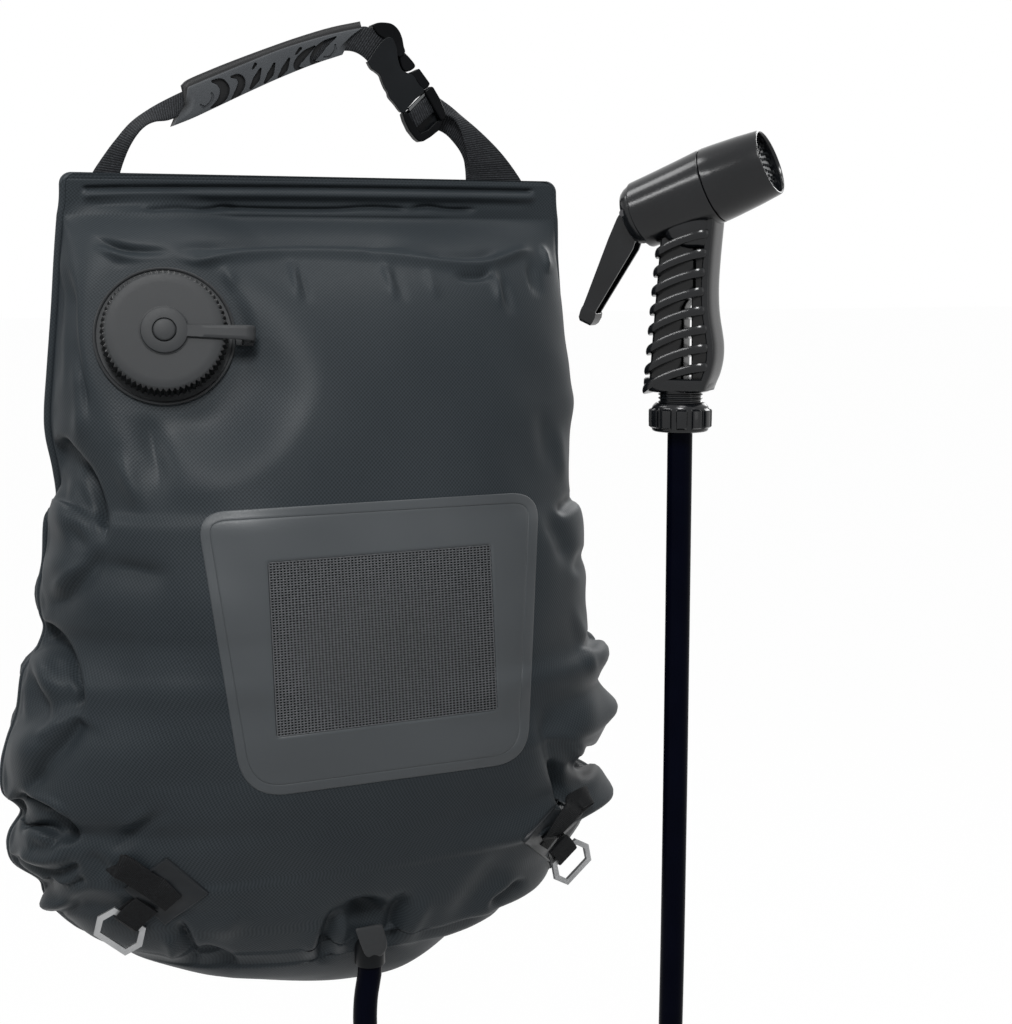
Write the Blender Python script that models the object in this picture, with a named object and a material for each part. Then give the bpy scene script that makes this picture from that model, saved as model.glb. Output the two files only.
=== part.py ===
"""Camp shower bag: a hanging soft water bag with a carry handle, a hose and a trigger handset.

Metres, +Z up, front of the bag faces -Y. The origin is the point under the grip where a hook
or branch carries the handle. Run with: blender --background --python part.py
"""
import math

import bmesh
import bpy
import numpy as np
from mathutils import Matrix, Vector

for old in list(bpy.data.objects):
    bpy.data.objects.remove(old, do_unlink=True)

# Clearances and cuts
FIT_GAP = 0.0003
SURFACE_GAP = 0.0005
LAID_GAP = 0.0012
PATCH_GAP = 0.0007
STRAP_GAP = 0.0005
CUT_OVERRUN = 0.004

# Bag body
HEM_DROP = 0.071
HEM_WIDTH = 0.342
HEM_HEIGHT = 0.026
HEM_THICK = 0.0056
HEM_CORNER = 0.007
BAG_HEIGHT = 0.515
BAG_FLARE = 0.042
SIDE_SWELL = 0.007
FRONT_DEPTH = 0.122
BACK_DEPTH = 0.058
SHEET_THICK = 0.0016
RIM_WIDTH = 0.005
RIM_THICK = 0.0020
RIDGE_LENGTH = 0.314
RIDGE_RADIUS = 0.0022
RIDGE_DOWN = 0.0125

# Strap, grip and buckle
WEBBING_WIDTH = 0.025
WEBBING_THICK = 0.0016
FOOT_SINK = 0.014
LEFT_FOOT_WIDTH = 0.0200
RIGHT_FOOT_WIDTH = 0.0400
FOLDED_WIDTH = 0.0115
GRIP_LENGTH = 0.127
GRIP_HEIGHT = 0.0225
GRIP_THICK = 0.0070
GRIP_ARCH = 0.0022
GRIP_SHEAR = 0.60
BUCKLE_LENGTH = 0.0575
BUCKLE_WIDTH = 0.029
BUCKLE_THICK = 0.0092
BUCKLE_WALL = 0.0016
SOCKET_LENGTH = 0.032
PRONG_WIDTH = 0.0040
PRONG_THICK = 0.0044

# Fill mouth and cap
CAP_INSET = 0.0505
CAP_DOWN = 0.1015
CAP_FORWARD = 0.0500
CAP_RADIUS = 0.0392
CAP_HEIGHT = 0.0150
CAP_TOP = 0.0026
FLANGE_RADIUS = 0.0436
FLANGE_THICK = 0.0024
NECK_RADIUS = 0.0348
NECK_BORE = 0.0315
NECK_RISE = 0.0095
NECK_INSIDE = 0.0060
GASKET_THICK = 0.0014
KNURL_DEPTH = 0.0007
TETHER_WIDTH = 0.0095
TETHER_THICK = 0.0016
TETHER_REACH = 0.0545

# Pocket panel on the front
POCKET_THICK = 0.0014
POCKET_TOP = 0.2045
POCKET_FOOT = 0.3835
POCKET_HALF_TOP = 0.1160
POCKET_HALF_FOOT = 0.0880
POCKET_CORNER = 0.0210
WINDOW_TOP = 0.235
WINDOW_FOOT = 0.345
WINDOW_HALF = 0.0745
NET_STRAND = 0.0020
NET_THICK = 0.0009

# Tie-downs at the lower corners
PATCH_SIDE = 0.036
PATCH_THICK = 0.0012
TIE_LEFT_INSET = 0.0335
TIE_LEFT_SHARE = 0.8136
TIE_RIGHT_INSET = 0.0445
TIE_RIGHT_SHARE = 0.8000
TIE_STRAP_WIDTH = 0.0170
TIE_STRAP_THICK = 0.0014
LOOP_RUN_LEFT = 0.0215
LOOP_RUN_RIGHT = 0.0115
TAB_RUN = 0.0380
RING_HEIGHT = 0.0215
RING_TOP_WIDTH = 0.0240
RING_MID_WIDTH = 0.0340
RING_BAR = 0.0036
RING_THICK = 0.0024

# Outlet and hose
HOSE_DIAMETER = 0.016
HOSE_BORE = 0.0095
OUTLET_ACROSS = -0.002
OUTLET_FORWARD_SHARE = 0.6803
OUTLET_SHARE = 0.9402
HOOD_WIDTH = 0.0210
HOOD_WALL = 0.0014
HOOD_HEIGHT = 0.0240

# Handset
HANDSET_AT = (0.1862, -0.1553, -0.1629)
HANDSET_TURN = -48.8
NUT_RADIUS = 0.0205
NUT_HEIGHT = 0.0182
NUT_TAPER = 0.0008
NUT_RIBS = 12
RIB_DEPTH = 0.0013
NECK_OUTER = 0.0140
GRIP_FOOT = 0.0275
BODY_HEIGHT = 0.0950
FIN_THICK = 0.0026
FIN_LENGTH = 0.0500
FIN_HALF_WIDTH = 0.0165
FIN_SLOPE = 20.0
FIN_COUNT = 8
BARREL_TILT = 20.5
BARREL_BACK = 0.0283
BARREL_CLEAR = 0.0139
BARREL_LENGTH = 0.0513
BARREL_REAR_RADIUS = 0.0218
BARREL_RADIUS = 0.0240
BARREL_WALL = 0.0026
DOME_DEPTH = 0.0105
SLEEVE_LENGTH = 0.0390
SLEEVE_MOUTH_RADIUS = 0.0212
SLEEVE_WALL = 0.0024
SPLIT_GAP = 0.0005
COLLAR_LENGTH = 0.020
PLATE_RECESS = 0.0055
PLATE_THICK = 0.0020
JET_RADIUS = 0.0009
JET_RINGS = 3
JET_SIDES = 5
STEM_RADIUS = 0.0030
STEM_LENGTH = 0.046
SEAL_RADIUS = 0.0090
LEVER_LENGTH = 0.0760
LEVER_WIDTH = 0.0130
LEVER_DEPTH = 0.0115
LEVER_TIP_DEPTH = 0.0085
LEVER_WALL = 0.0022
LEVER_LEAN = 23.5
PIVOT_BACK = 0.0045
PIVOT_UP = 0.0030
PIN_RADIUS = 0.0021

# Proportions of the bag's swell, as shares
SECTION_POWER = 2.4
CROWN_END_SHARE = 0.64
CORNER_START_SHARE = 0.70
FLARE_END_SHARE = 0.78
SWELL_END_SHARE = 0.05
CAP_SLOPE_ACROSS = 0.236
CAP_SLOPE_DOWN = 0.2755

LOOKS = {
    "coated_fabric": ((0.035, 0.040, 0.043), 0.55, 0.0),
    "pocket_film": ((0.065, 0.072, 0.076), 0.60, 0.0),
    "net": ((0.030, 0.032, 0.034), 0.70, 0.0),
    "webbing": ((0.015, 0.015, 0.016), 0.80, 0.0),
    "black_plastic": ((0.020, 0.021, 0.022), 0.35, 0.0),
    "cap_plastic": ((0.085, 0.090, 0.092), 0.50, 0.0),
    "grip_rubber": ((0.045, 0.048, 0.050), 0.65, 0.0),
    "hose_rubber": ((0.010, 0.011, 0.014), 0.30, 0.0),
    "seal_rubber": ((0.030, 0.030, 0.030), 0.80, 0.0),
    "ring_steel": ((0.450, 0.460, 0.470), 0.35, 1.0),
    "pin_steel": ((0.550, 0.550, 0.540), 0.30, 1.0),
}


def look(name):
    """One Principled material for each finish."""
    if name in bpy.data.materials:
        return bpy.data.materials[name]
    colour, roughness, metallic = LOOKS[name]
    made = bpy.data.materials.new(name)
    made.use_nodes = True
    shader = made.node_tree.nodes["Principled BSDF"]
    shader.inputs["Base Color"].default_value = (*colour, 1.0)
    shader.inputs["Roughness"].default_value = roughness
    shader.inputs["Metallic"].default_value = metallic
    return made


def empty(name, parent=None, location=(0, 0, 0), rotation=None):
    """A guide that carries a local frame."""
    made = bpy.data.objects.new(name, None)
    bpy.context.collection.objects.link(made)
    made.parent = parent
    made.location = location
    if rotation is not None:
        made.rotation_euler = rotation
    return made


def solid(name, verts, faces, finish, parent=None, merge=0.0, location=(0, 0, 0)):
    """A closed mesh object whose faces point outwards."""
    mesh = bpy.data.meshes.new(name)
    mesh.from_pydata([tuple(map(float, v)) for v in verts], [], faces)
    work = bmesh.new()
    work.from_mesh(mesh)
    if merge:
        bmesh.ops.remove_doubles(work, verts=work.verts, dist=merge)
    bmesh.ops.recalc_face_normals(work, faces=work.faces)
    work.to_mesh(mesh)
    work.free()
    made = bpy.data.objects.new(name, mesh)
    bpy.context.collection.objects.link(made)
    mesh.materials.append(look(finish))
    mesh.shade_smooth()
    mesh.set_sharp_from_angle(angle=math.radians(35))
    made.parent = parent
    made.location = location
    return made


def cutter(made):
    """Keep a tool body out of the model."""
    made.hide_render = True
    made.display_type = "WIRE"
    return made


def carve(target, tool, operation="DIFFERENCE"):
    """Cut or join with the exact solver."""
    step = target.modifiers.new(tool.name, "BOOLEAN")
    step.operation = operation
    step.solver = "EXACT"
    step.object = cutter(tool)
    return target


def turned(name, outline, finish, sides, parent=None, location=(0, 0, 0)):
    """Spin a closed outline of (radius, height) about local Z."""
    count = len(outline)
    turns = np.linspace(0, 2 * math.pi, sides, endpoint=False)
    verts = [(r * math.cos(a), r * math.sin(a), h) for a in turns for r, h in outline]
    faces = []
    for step in range(sides):
        after = (step + 1) % sides
        for k in range(count):
            n = (k + 1) % count
            if outline[k][0] == 0 and outline[n][0] == 0:
                continue
            faces.append((step * count + k, step * count + n, after * count + n, after * count + k))
    mesh_merge = FIT_GAP / 100
    return solid(name, verts, faces, finish, parent, mesh_merge, location)


def extruded(name, outline, low, high, finish, parent=None):
    """Extrude an outline in local X and Z from low to high along local Y."""
    work = bmesh.new()
    base = [work.verts.new((x, low, z)) for x, z in outline]
    face = work.faces.new(base)
    moved = bmesh.ops.extrude_face_region(work, geom=[face])
    top = [g for g in moved["geom"] if isinstance(g, bmesh.types.BMVert)]
    bmesh.ops.translate(work, verts=top, vec=(0, high - low, 0))
    bmesh.ops.recalc_face_normals(work, faces=work.faces)
    mesh = bpy.data.meshes.new(name)
    work.to_mesh(mesh)
    work.free()
    made = bpy.data.objects.new(name, mesh)
    bpy.context.collection.objects.link(made)
    mesh.materials.append(look(finish))
    mesh.shade_smooth()
    mesh.set_sharp_from_angle(angle=math.radians(35))
    made.parent = parent
    return made


def frame_plate(name, outer, inner, low, high, finish, parent=None):
    """A plate ring between two outlines with the same number of points, along local Y."""
    count = len(outer)
    verts = [(x, y, z) for y in (low, high) for ring in (outer, inner) for x, z in ring]
    faces = []
    for k in range(count):
        n = (k + 1) % count
        rows = [r * count for r in range(4)]
        faces.append((rows[0] + k, rows[0] + n, rows[1] + n, rows[1] + k))
        faces.append((rows[2] + k, rows[3] + k, rows[3] + n, rows[2] + n))
        faces.append((rows[0] + k, rows[2] + k, rows[2] + n, rows[0] + n))
        faces.append((rows[1] + k, rows[1] + n, rows[3] + n, rows[3] + k))
    return solid(name, verts, faces, finish, parent)


def block(name, low, high, finish="black_plastic", parent=None):
    """A box between two corners."""
    verts = [(x, y, z) for x in (low[0], high[0]) for y in (low[1], high[1]) for z in (low[2], high[2])]
    faces = [(0, 1, 3, 2), (4, 6, 7, 5), (0, 4, 5, 1), (2, 3, 7, 6), (0, 2, 6, 4), (1, 5, 7, 3)]
    return solid(name, verts, faces, finish, parent)


def ribbon(name, centres, across, width, thick, finish, parent=None):
    """Sweep a flat band along centres; across holds the unit width direction at each point."""
    centres = np.asarray(centres, float)
    across = np.asarray(across, float)
    along = np.gradient(centres, axis=0)
    along /= np.linalg.norm(along, axis=1)[:, None]
    normal = np.cross(along, across)
    normal /= np.linalg.norm(normal, axis=1)[:, None]
    widths = np.broadcast_to(width, len(centres))
    verts = []
    for centre, side, up, wide in zip(centres, across, normal, widths):
        for a, b in ((-1, -1), (1, -1), (1, 1), (-1, 1)):
            verts.append(centre + side * a * wide / 2 + up * b * thick / 2)
    faces = [(0, 1, 2, 3)]
    last = len(centres) - 1
    for k in range(last):
        for c in range(4):
            n = (c + 1) % 4
            faces.append((4 * k + c, 4 * k + n, 4 * k + 4 + n, 4 * k + 4 + c))
    faces.append(tuple(4 * last + c for c in (3, 2, 1, 0)))
    return solid(name, verts, faces, finish, parent)


def smooth_path(points, count):
    """Points read evenly from a Catmull-Rom curve through the route's own points."""
    points = [Vector(p) for p in points]
    ends = [points[0] * 2 - points[1]] + points + [points[-1] * 2 - points[-2]]
    fine = []
    per = 24
    for k in range(1, len(ends) - 2):
        p0, p1, p2, p3 = ends[k - 1:k + 3]
        for step in range(per):
            t = step / per
            fine.append(0.5 * (2 * p1 + (p2 - p0) * t + (2 * p0 - 5 * p1 + 4 * p2 - p3) * t ** 2
                               + (3 * p1 - p0 - 3 * p2 + p3) * t ** 3))
    fine.append(points[-1])
    fine = np.array([tuple(p) for p in fine])
    run = np.concatenate([[0], np.cumsum(np.linalg.norm(np.diff(fine, axis=0), axis=1))])
    even = np.linspace(0, run[-1], count)
    return np.stack([np.interp(even, run, fine[:, k]) for k in range(3)], axis=1)


def tube(name, points, radius, resolution, finish, parent=None):
    """A round tube along a poly spline with filled caps."""
    curve = bpy.data.curves.new(name, "CURVE")
    curve.dimensions = "3D"
    curve.bevel_depth = radius
    curve.bevel_resolution = resolution
    curve.use_fill_caps = True
    spline = curve.splines.new("POLY")
    spline.points.add(len(points) - 1)
    for slot, point in zip(spline.points, points):
        slot.co = (*[float(c) for c in point], 1.0)
    curve.materials.append(look(finish))
    made = bpy.data.objects.new(name, curve)
    bpy.context.collection.objects.link(made)
    made.parent = parent
    return made


def smooth01(x):
    x = min(1.0, max(0.0, x))
    return x * x * (3 - 2 * x)


# The bag's shape: t runs from 0 under the hem to 1 at the lowest point
def half_width(t):
    """Half width over the welded rim."""
    flare = smooth01(min(1.0, t / FLARE_END_SHARE) ** 1.5)
    side = HEM_WIDTH / 2 + SIDE_SWELL * min(1.0, t / SWELL_END_SHARE) + BAG_FLARE * flare
    corner = max(0.0, (t - CORNER_START_SHARE) / (1 - CORNER_START_SHARE))
    return side * (1 - min(1.0, corner) ** 2.2) ** (1 / 2.6)


def crown(t):
    """Share of the full depth that the sheet reaches at height share t."""
    if t < CROWN_END_SHARE:
        return max(0.0, 1 - (1 - t / CROWN_END_SHARE) ** 2) ** 0.65
    past = (t - CROWN_END_SHARE) / (1 - CROWN_END_SHARE)
    return math.sqrt(max(0.0, 1 - min(1.0, past) ** 2.4))


BAG_TOP = -HEM_HEIGHT - FIT_GAP
cap_across = HEM_WIDTH / 2 - CAP_INSET
FLAT_INNER = TETHER_REACH + RIM_THICK
FLAT_OUTER = TETHER_REACH * 1.75


def swell(x, t, depth, inset, flattened):
    """How far the sheet stands out of the seam plane at x and height share t."""
    width = max(half_width(t) - RIM_WIDTH - inset, inset / 10 + FIT_GAP / 10)
    s = min(1.0, abs(x) / width)
    lens = max(depth * crown(t) - inset, 0.0) * math.sqrt(max(0.0, 1 - s ** SECTION_POWER))
    if not flattened:
        return lens
    z = BAG_TOP - inset - (BAG_HEIGHT - 2 * inset) * t
    dx = x + cap_across
    dz = z + CAP_DOWN
    plane = CAP_FORWARD + CAP_SLOPE_ACROSS * dx - CAP_SLOPE_DOWN * dz - inset
    plane *= math.sqrt(max(0.0, 1 - s ** 60))
    blend = 1 - smooth01((math.hypot(dx, dz) - FLAT_INNER) / (FLAT_OUTER - FLAT_INNER))
    return lens * (1 - blend) + plane * blend


def share_at(z):
    return min(1.0, max(0.0, (BAG_TOP - z) / BAG_HEIGHT))


def front_y(x, z, lift=0.0):
    """Y of the front sheet's outer face, lifted off it along the normal."""
    step = 0.002 * FRONT_DEPTH
    here = swell(x, share_at(z), FRONT_DEPTH, 0.0, True)
    slope_x = (swell(x + step, share_at(z), FRONT_DEPTH, 0.0, True) - here) / step
    slope_z = (swell(x, share_at(z + step), FRONT_DEPTH, 0.0, True) - here) / step
    return -(here + lift * math.sqrt(1 + slope_x ** 2 + slope_z ** 2))


def sheet_grid(depth, sign, inset, columns, rows, flattened):
    """Rows of points from hem to foot, then one point at the foot."""
    verts = []
    for r in range(rows):
        t = 0.5 * (1 - math.cos(math.pi * r / rows))
        width = max(half_width(t) - RIM_WIDTH - inset, 0.0)
        z = BAG_TOP - inset - (BAG_HEIGHT - 2 * inset) * t
        for c in range(columns + 1):
            s = math.sin(math.pi * (c / columns - 0.5))
            x = width * s
            verts.append((x, sign * (swell(x, t, depth, inset, flattened) + FIT_GAP / 2), z))
    verts.append((0.0, sign * FIT_GAP / 2, BAG_TOP + inset - BAG_HEIGHT))
    return verts


def grid_faces(columns, rows, start, flip):
    faces = []
    wide = columns + 1
    for r in range(rows - 1):
        for c in range(columns):
            quad = (start + r * wide + c, start + r * wide + c + 1,
                    start + (r + 1) * wide + c + 1, start + (r + 1) * wide + c)
            faces.append(quad[::-1] if flip else quad)
    pole = start + rows * wide
    for c in range(columns):
        tri = (start + (rows - 1) * wide + c, start + (rows - 1) * wide + c + 1, pole)
        faces.append(tri[::-1] if flip else tri)
    return faces


def sheet_shell(name, depth, sign, columns, rows, flattened, parent):
    """One welded half of the bag, a shell open towards the other half."""
    outer = sheet_grid(depth, sign, 0.0, columns, rows, flattened)
    inner = sheet_grid(depth, sign, SHEET_THICK, columns, rows, flattened)
    wide = columns + 1
    start = len(outer)
    faces = grid_faces(columns, rows, 0, False) + grid_faces(columns, rows, start, True)
    for c in range(columns):
        faces.append((c, start + c, start + c + 1, c + 1))
    for side in (0, columns):
        for r in range(rows - 1):
            a, b = r * wide + side, (r + 1) * wide + side
            faces.append((a, b, start + b, start + a))
        a, pole = (rows - 1) * wide + side, rows * wide
        faces.append((a, pole, start + pole, start + a))
    return solid(name, outer + inner, faces, "coated_fabric", parent)


bag = empty("bag_frame", location=(0, 0, -HEM_DROP))
FRONT_COLUMNS, FRONT_ROWS = 22, 20
front = sheet_shell("front_sheet", FRONT_DEPTH, -1, FRONT_COLUMNS, FRONT_ROWS, True, bag)
back = sheet_shell("back_sheet", BACK_DEPTH, 1, 12, FRONT_ROWS, False, bag)

# The welded rim follows the outline from hem to hem
rim_shares = [0.5 * (1 - math.cos(math.pi * k / FRONT_ROWS)) for k in range(FRONT_ROWS + 1)]
rim_side = [(half_width(t) - RIM_WIDTH, BAG_TOP - BAG_HEIGHT * t) for t in rim_shares]
rim_line = np.array(rim_side + [(-x, z) for x, z in rim_side[-2::-1]])
rim_along = np.gradient(rim_line, axis=0)
rim_along /= np.linalg.norm(rim_along, axis=1)[:, None]
rim_out = np.stack([-rim_along[:, 1], rim_along[:, 0]], axis=1)
rim_mid = rim_line + rim_out * (RIM_WIDTH / 2 + FIT_GAP)
rim_centres = [(x, 0, z) for x, z in rim_mid]
rim_across = [(x, 0, z) for x, z in rim_out]
rim_centres[0] = (rim_centres[0][0], 0, BAG_TOP)
rim_centres[-1] = (rim_centres[-1][0], 0, BAG_TOP)
rim_across[0] = (1, 0, 0)
rim_across[-1] = (-1, 0, 0)
ribbon("side_weld", rim_centres, rim_across, RIM_WIDTH, RIM_THICK, "coated_fabric", bag)

# Hem band with its pressed ridge and the two slots that hold the webbing
LEFT_FOOT = -0.1427
RIGHT_FOOT = 0.1220


def rounded_box_outline(half_w, low, high, radius, steps=4):
    corners = [(half_w - radius, high - radius, 0), (-half_w + radius, high - radius, 90),
               (-half_w + radius, low + radius, 180), (half_w - radius, low + radius, 270)]
    points = []
    for cx, cz, start in corners:
        for k in range(steps + 1):
            a = math.radians(start + 90 * k / steps)
            points.append((cx + radius * math.cos(a), cz + radius * math.sin(a)))
    return points


hem_outline = rounded_box_outline(HEM_WIDTH / 2, -HEM_HEIGHT - HEM_CORNER, 0, HEM_CORNER)
hem = extruded("hem_band", hem_outline, -HEM_THICK / 2, HEM_THICK / 2, "coated_fabric", bag)
carve(hem, block("hem_trim", (-HEM_WIDTH, -HEM_THICK, -HEM_HEIGHT - HEM_WIDTH),
                 (HEM_WIDTH, HEM_THICK, -HEM_HEIGHT), parent=bag))
ridge = turned("hem_ridge", [(0, -RIDGE_LENGTH / 2), (RIDGE_RADIUS, -RIDGE_LENGTH / 2 + RIDGE_RADIUS),
                             (RIDGE_RADIUS, RIDGE_LENGTH / 2 - RIDGE_RADIUS), (0, RIDGE_LENGTH / 2)],
               "coated_fabric", 10, bag, (0, -HEM_THICK / 2 + RIDGE_RADIUS / 4, -RIDGE_DOWN))
ridge.rotation_euler = (0, math.pi / 2, 0)
carve(hem, ridge, "UNION")
foot_slots = {}
for side, foot_x in (("left", LEFT_FOOT), ("right", RIGHT_FOOT)):
    half = (RIGHT_FOOT_WIDTH if side == "right" else LEFT_FOOT_WIDTH) / 2 + FIT_GAP * 3
    slot = block("foot_slot_" + side, (foot_x - half, -WEBBING_THICK / 2 - FIT_GAP, -FOOT_SINK - FIT_GAP),
                 (foot_x + half, WEBBING_THICK / 2 + FIT_GAP, CUT_OVERRUN), parent=bag)
    carve(hem, slot)

# The strap: one webbing from the left foot through the grip to the buckle
GRIP_MID = (-0.0384, 0.0676)
GRIP_RISE = 22.1
BUCKLE_AT = (0.0504, 0.0817)
BUCKLE_FALL = 58.4
rise = math.radians(GRIP_RISE)
fall = math.radians(BUCKLE_FALL)
grip_dir = Vector((math.cos(rise), 0, math.sin(rise)))
buckle_dir = Vector((math.cos(fall), 0, -math.sin(fall)))
grip_mid = Vector((GRIP_MID[0], 0, GRIP_MID[1]))
buckle_at = Vector((BUCKLE_AT[0], 0, BUCKLE_AT[1]))
grip_start = grip_mid - grip_dir * GRIP_LENGTH / 2
grip_end = grip_mid + grip_dir * GRIP_LENGTH / 2
turn_corner = grip_end + grip_dir * ((buckle_at - grip_end).length / (2 * math.cos((rise + fall) / 2)))
main_route = [Vector((LEFT_FOOT, 0, -FOOT_SINK)), Vector((LEFT_FOOT, 0, 0.0)),
              Vector((LEFT_FOOT + 0.16 * WEBBING_WIDTH, 0, 0.56 * WEBBING_WIDTH)),
              Vector((LEFT_FOOT + 0.72 * WEBBING_WIDTH, 0, 1.14 * WEBBING_WIDTH)),
              grip_start - grip_dir * WEBBING_WIDTH * 0.30,
              grip_start + grip_dir * WEBBING_WIDTH * 0.4,
              grip_mid + Vector((0, 0, GRIP_ARCH / 2)),
              grip_end - grip_dir * WEBBING_WIDTH * 0.4,
              grip_end + grip_dir * WEBBING_WIDTH * 0.22]
bend_middle = (grip_end + buckle_at) / 2 * 0.45 + turn_corner * 0.55
main_route += [bend_middle, buckle_at - buckle_dir * WEBBING_WIDTH * 0.16]
STRAP_STEPS = 40
strap_points = smooth_path(main_route, STRAP_STEPS)
strap_along = np.gradient(strap_points, axis=0)
strap_along /= np.linalg.norm(strap_along, axis=1)[:, None]
strap_across = np.stack([strap_along[:, 2], np.zeros(STRAP_STEPS), -strap_along[:, 0]], axis=1)
strap_across[strap_points[:, 2] < 0] = (1, 0, 0)
width_places = (LEFT_FOOT, LEFT_FOOT + FOLDED_WIDTH, grip_start.x, grip_mid.x, grip_end.x, buckle_at.x)
width_values = (LEFT_FOOT_WIDTH, FOLDED_WIDTH, FOLDED_WIDTH, GRIP_HEIGHT * 0.72, GRIP_HEIGHT * 0.80,
                WEBBING_WIDTH)
strap_widths = np.interp(strap_points[:, 0], width_places, width_values) - FIT_GAP * 4
ribbon("webbing_main", strap_points, strap_across, strap_widths, WEBBING_THICK, "webbing", bag)

# Moulded grip sleeve, with its pattern of curved and slanted cut-outs
grip_frame = empty("grip_frame", bag, grip_mid, (0, -rise, 0))
arch_steps = 10
grip_outline = []
for k in range(arch_steps + 1):
    u = 2 * k / arch_steps - 1
    grip_outline.append((u * GRIP_LENGTH / 2, GRIP_HEIGHT / 2 + GRIP_ARCH * (1 - u * u)))
grip_outline.reverse()
for k in range(1, 5):
    v = 1 - k / 2.5
    grip_outline.append((-GRIP_LENGTH / 2 + GRIP_HEIGHT * 0.28 * (1 - v * v), v * GRIP_HEIGHT / 2))
for k in range(arch_steps + 1):
    u = 2 * k / arch_steps - 1
    grip_outline.append((u * GRIP_LENGTH / 2, -GRIP_HEIGHT / 2 + GRIP_ARCH * (1 - u * u)))
for k in range(1, 5):
    v = k / 2.5 - 1
    grip_outline.append((GRIP_LENGTH / 2 - GRIP_HEIGHT * 0.28 * (1 - v * v), v * GRIP_HEIGHT / 2))
grip_outline = [(x + z * GRIP_SHEAR, z) for x, z in grip_outline]
grip = extruded("grip_sleeve", grip_outline, -GRIP_THICK / 2, GRIP_THICK / 2, "grip_rubber", grip_frame)
channel_half = WEBBING_THICK / 2 + FIT_GAP * 2
channel = block("grip_channel", (-GRIP_LENGTH, -channel_half, -GRIP_HEIGHT),
                (GRIP_LENGTH, channel_half, GRIP_HEIGHT / 2 - FIT_GAP), parent=grip_frame)
for vert in channel.data.vertices:
    if vert.co.z > 0:
        vert.co.z = GRIP_HEIGHT / 2 + FIT_GAP


def crescent(centre, half_height, belly, hollow, lean, steps=6):
    """A sliver between two parabolas, leaning by lean metres per metre."""
    out = []
    for k in range(steps + 1):
        v = (2 * k / steps - 1) * half_height
        out.append((centre + belly * (1 - (v / half_height) ** 2) + lean * v, v))
    for k in range(1, steps):
        v = (1 - 2 * k / steps) * half_height
        out.append((centre + hollow * (1 - (v / half_height) ** 2) + lean * v, v))
    return out


CUT_PLACE_SHARES = (-0.80, -0.60, -0.40, -0.17, 0.0, 0.17, 0.40, 0.60, 0.80)
CUT_HEIGHT_SHARES = (0.22, 0.34, 0.34, 0.28, 0.30, 0.28, 0.34, 0.34, 0.22)
carve(grip, channel)
for number, (place, tall) in enumerate(zip(CUT_PLACE_SHARES, CUT_HEIGHT_SHARES)):
    side = -1 if place < -0.3 else (1 if place > 0.3 else 0)
    belly = -side * GRIP_HEIGHT * 0.30 + GRIP_HEIGHT * 0.055
    hollow = -side * GRIP_HEIGHT * 0.12 - GRIP_HEIGHT * 0.055
    if side == 1:
        belly, hollow = -GRIP_HEIGHT * 0.12 + GRIP_HEIGHT * 0.055, -GRIP_HEIGHT * 0.30 - GRIP_HEIGHT * 0.055
    lean = 0.35 if side == 0 else 0.1
    shape = crescent(place * GRIP_LENGTH / 2, tall * GRIP_HEIGHT, belly, hollow, lean)
    opening = extruded("grip_cut_%d" % number, shape, -GRIP_THICK, GRIP_THICK, "grip_rubber", grip_frame)
    carve(grip, opening)

# Side-release buckle: local X runs down the buckle, Y through it
buckle = empty("buckle_frame", bag, buckle_at, (0, fall, 0))
half_w, half_t = BUCKLE_WIDTH / 2, BUCKLE_THICK / 2
WAIST = BUCKLE_WIDTH * 0.07
socket_outline = [(0, -half_w + WAIST), (0, half_w - WAIST), (0.25 * SOCKET_LENGTH, half_w - WAIST),
                  (0.45 * SOCKET_LENGTH, half_w), (0.93 * SOCKET_LENGTH, half_w),
                  (SOCKET_LENGTH, half_w - WAIST), (SOCKET_LENGTH, -half_w + WAIST),
                  (0.93 * SOCKET_LENGTH, -half_w), (0.45 * SOCKET_LENGTH, -half_w),
                  (0.25 * SOCKET_LENGTH, -half_w + WAIST)]
socket = extruded("buckle_socket", socket_outline, -half_t, half_t, "black_plastic", buckle)
CAVITY_START = 0.24 * SOCKET_LENGTH
carve(socket, block("socket_cavity", (CAVITY_START, -half_t + BUCKLE_WALL, -half_w + WAIST + BUCKLE_WALL),
                    (SOCKET_LENGTH + CUT_OVERRUN, half_t - BUCKLE_WALL, half_w - WAIST - BUCKLE_WALL),
                    parent=buckle))
for side in (-1, 1):
    low_z, high_z = sorted((side * (half_w - WAIST * 2.6), side * (half_w + CUT_OVERRUN)))
    carve(socket, block("socket_window_%d" % side, (0.36 * SOCKET_LENGTH, -half_t + BUCKLE_WALL, low_z),
                        (0.74 * SOCKET_LENGTH, half_t - BUCKLE_WALL, high_z), parent=buckle))

TONGUE_START = SOCKET_LENGTH + FIT_GAP
BASE_LENGTH = BUCKLE_LENGTH - TONGUE_START
tongue_outline = [(TONGUE_START, -half_w + WAIST), (TONGUE_START, half_w - WAIST),
                  (TONGUE_START + 0.12 * BASE_LENGTH, half_w), (BUCKLE_LENGTH - WAIST, half_w),
                  (BUCKLE_LENGTH, half_w - WAIST), (BUCKLE_LENGTH, -half_w + WAIST),
                  (BUCKLE_LENGTH - WAIST, -half_w), (TONGUE_START + 0.12 * BASE_LENGTH, -half_w)]
tongue = extruded("buckle_tongue", tongue_outline, -half_t * 0.8, half_t * 0.8, "black_plastic", buckle)
GUIDE_HALF = BUCKLE_WIDTH * 0.10
guide = block("tongue_guide", (CAVITY_START + 0.12 * SOCKET_LENGTH, -PRONG_THICK / 2, -GUIDE_HALF),
              (TONGUE_START + 0.2 * BASE_LENGTH, PRONG_THICK / 2, GUIDE_HALF), parent=buckle)
carve(tongue, guide, "UNION")
LADDER_SLOT = 0.0042
ladder_half = WEBBING_WIDTH / 2 + FIT_GAP
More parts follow.
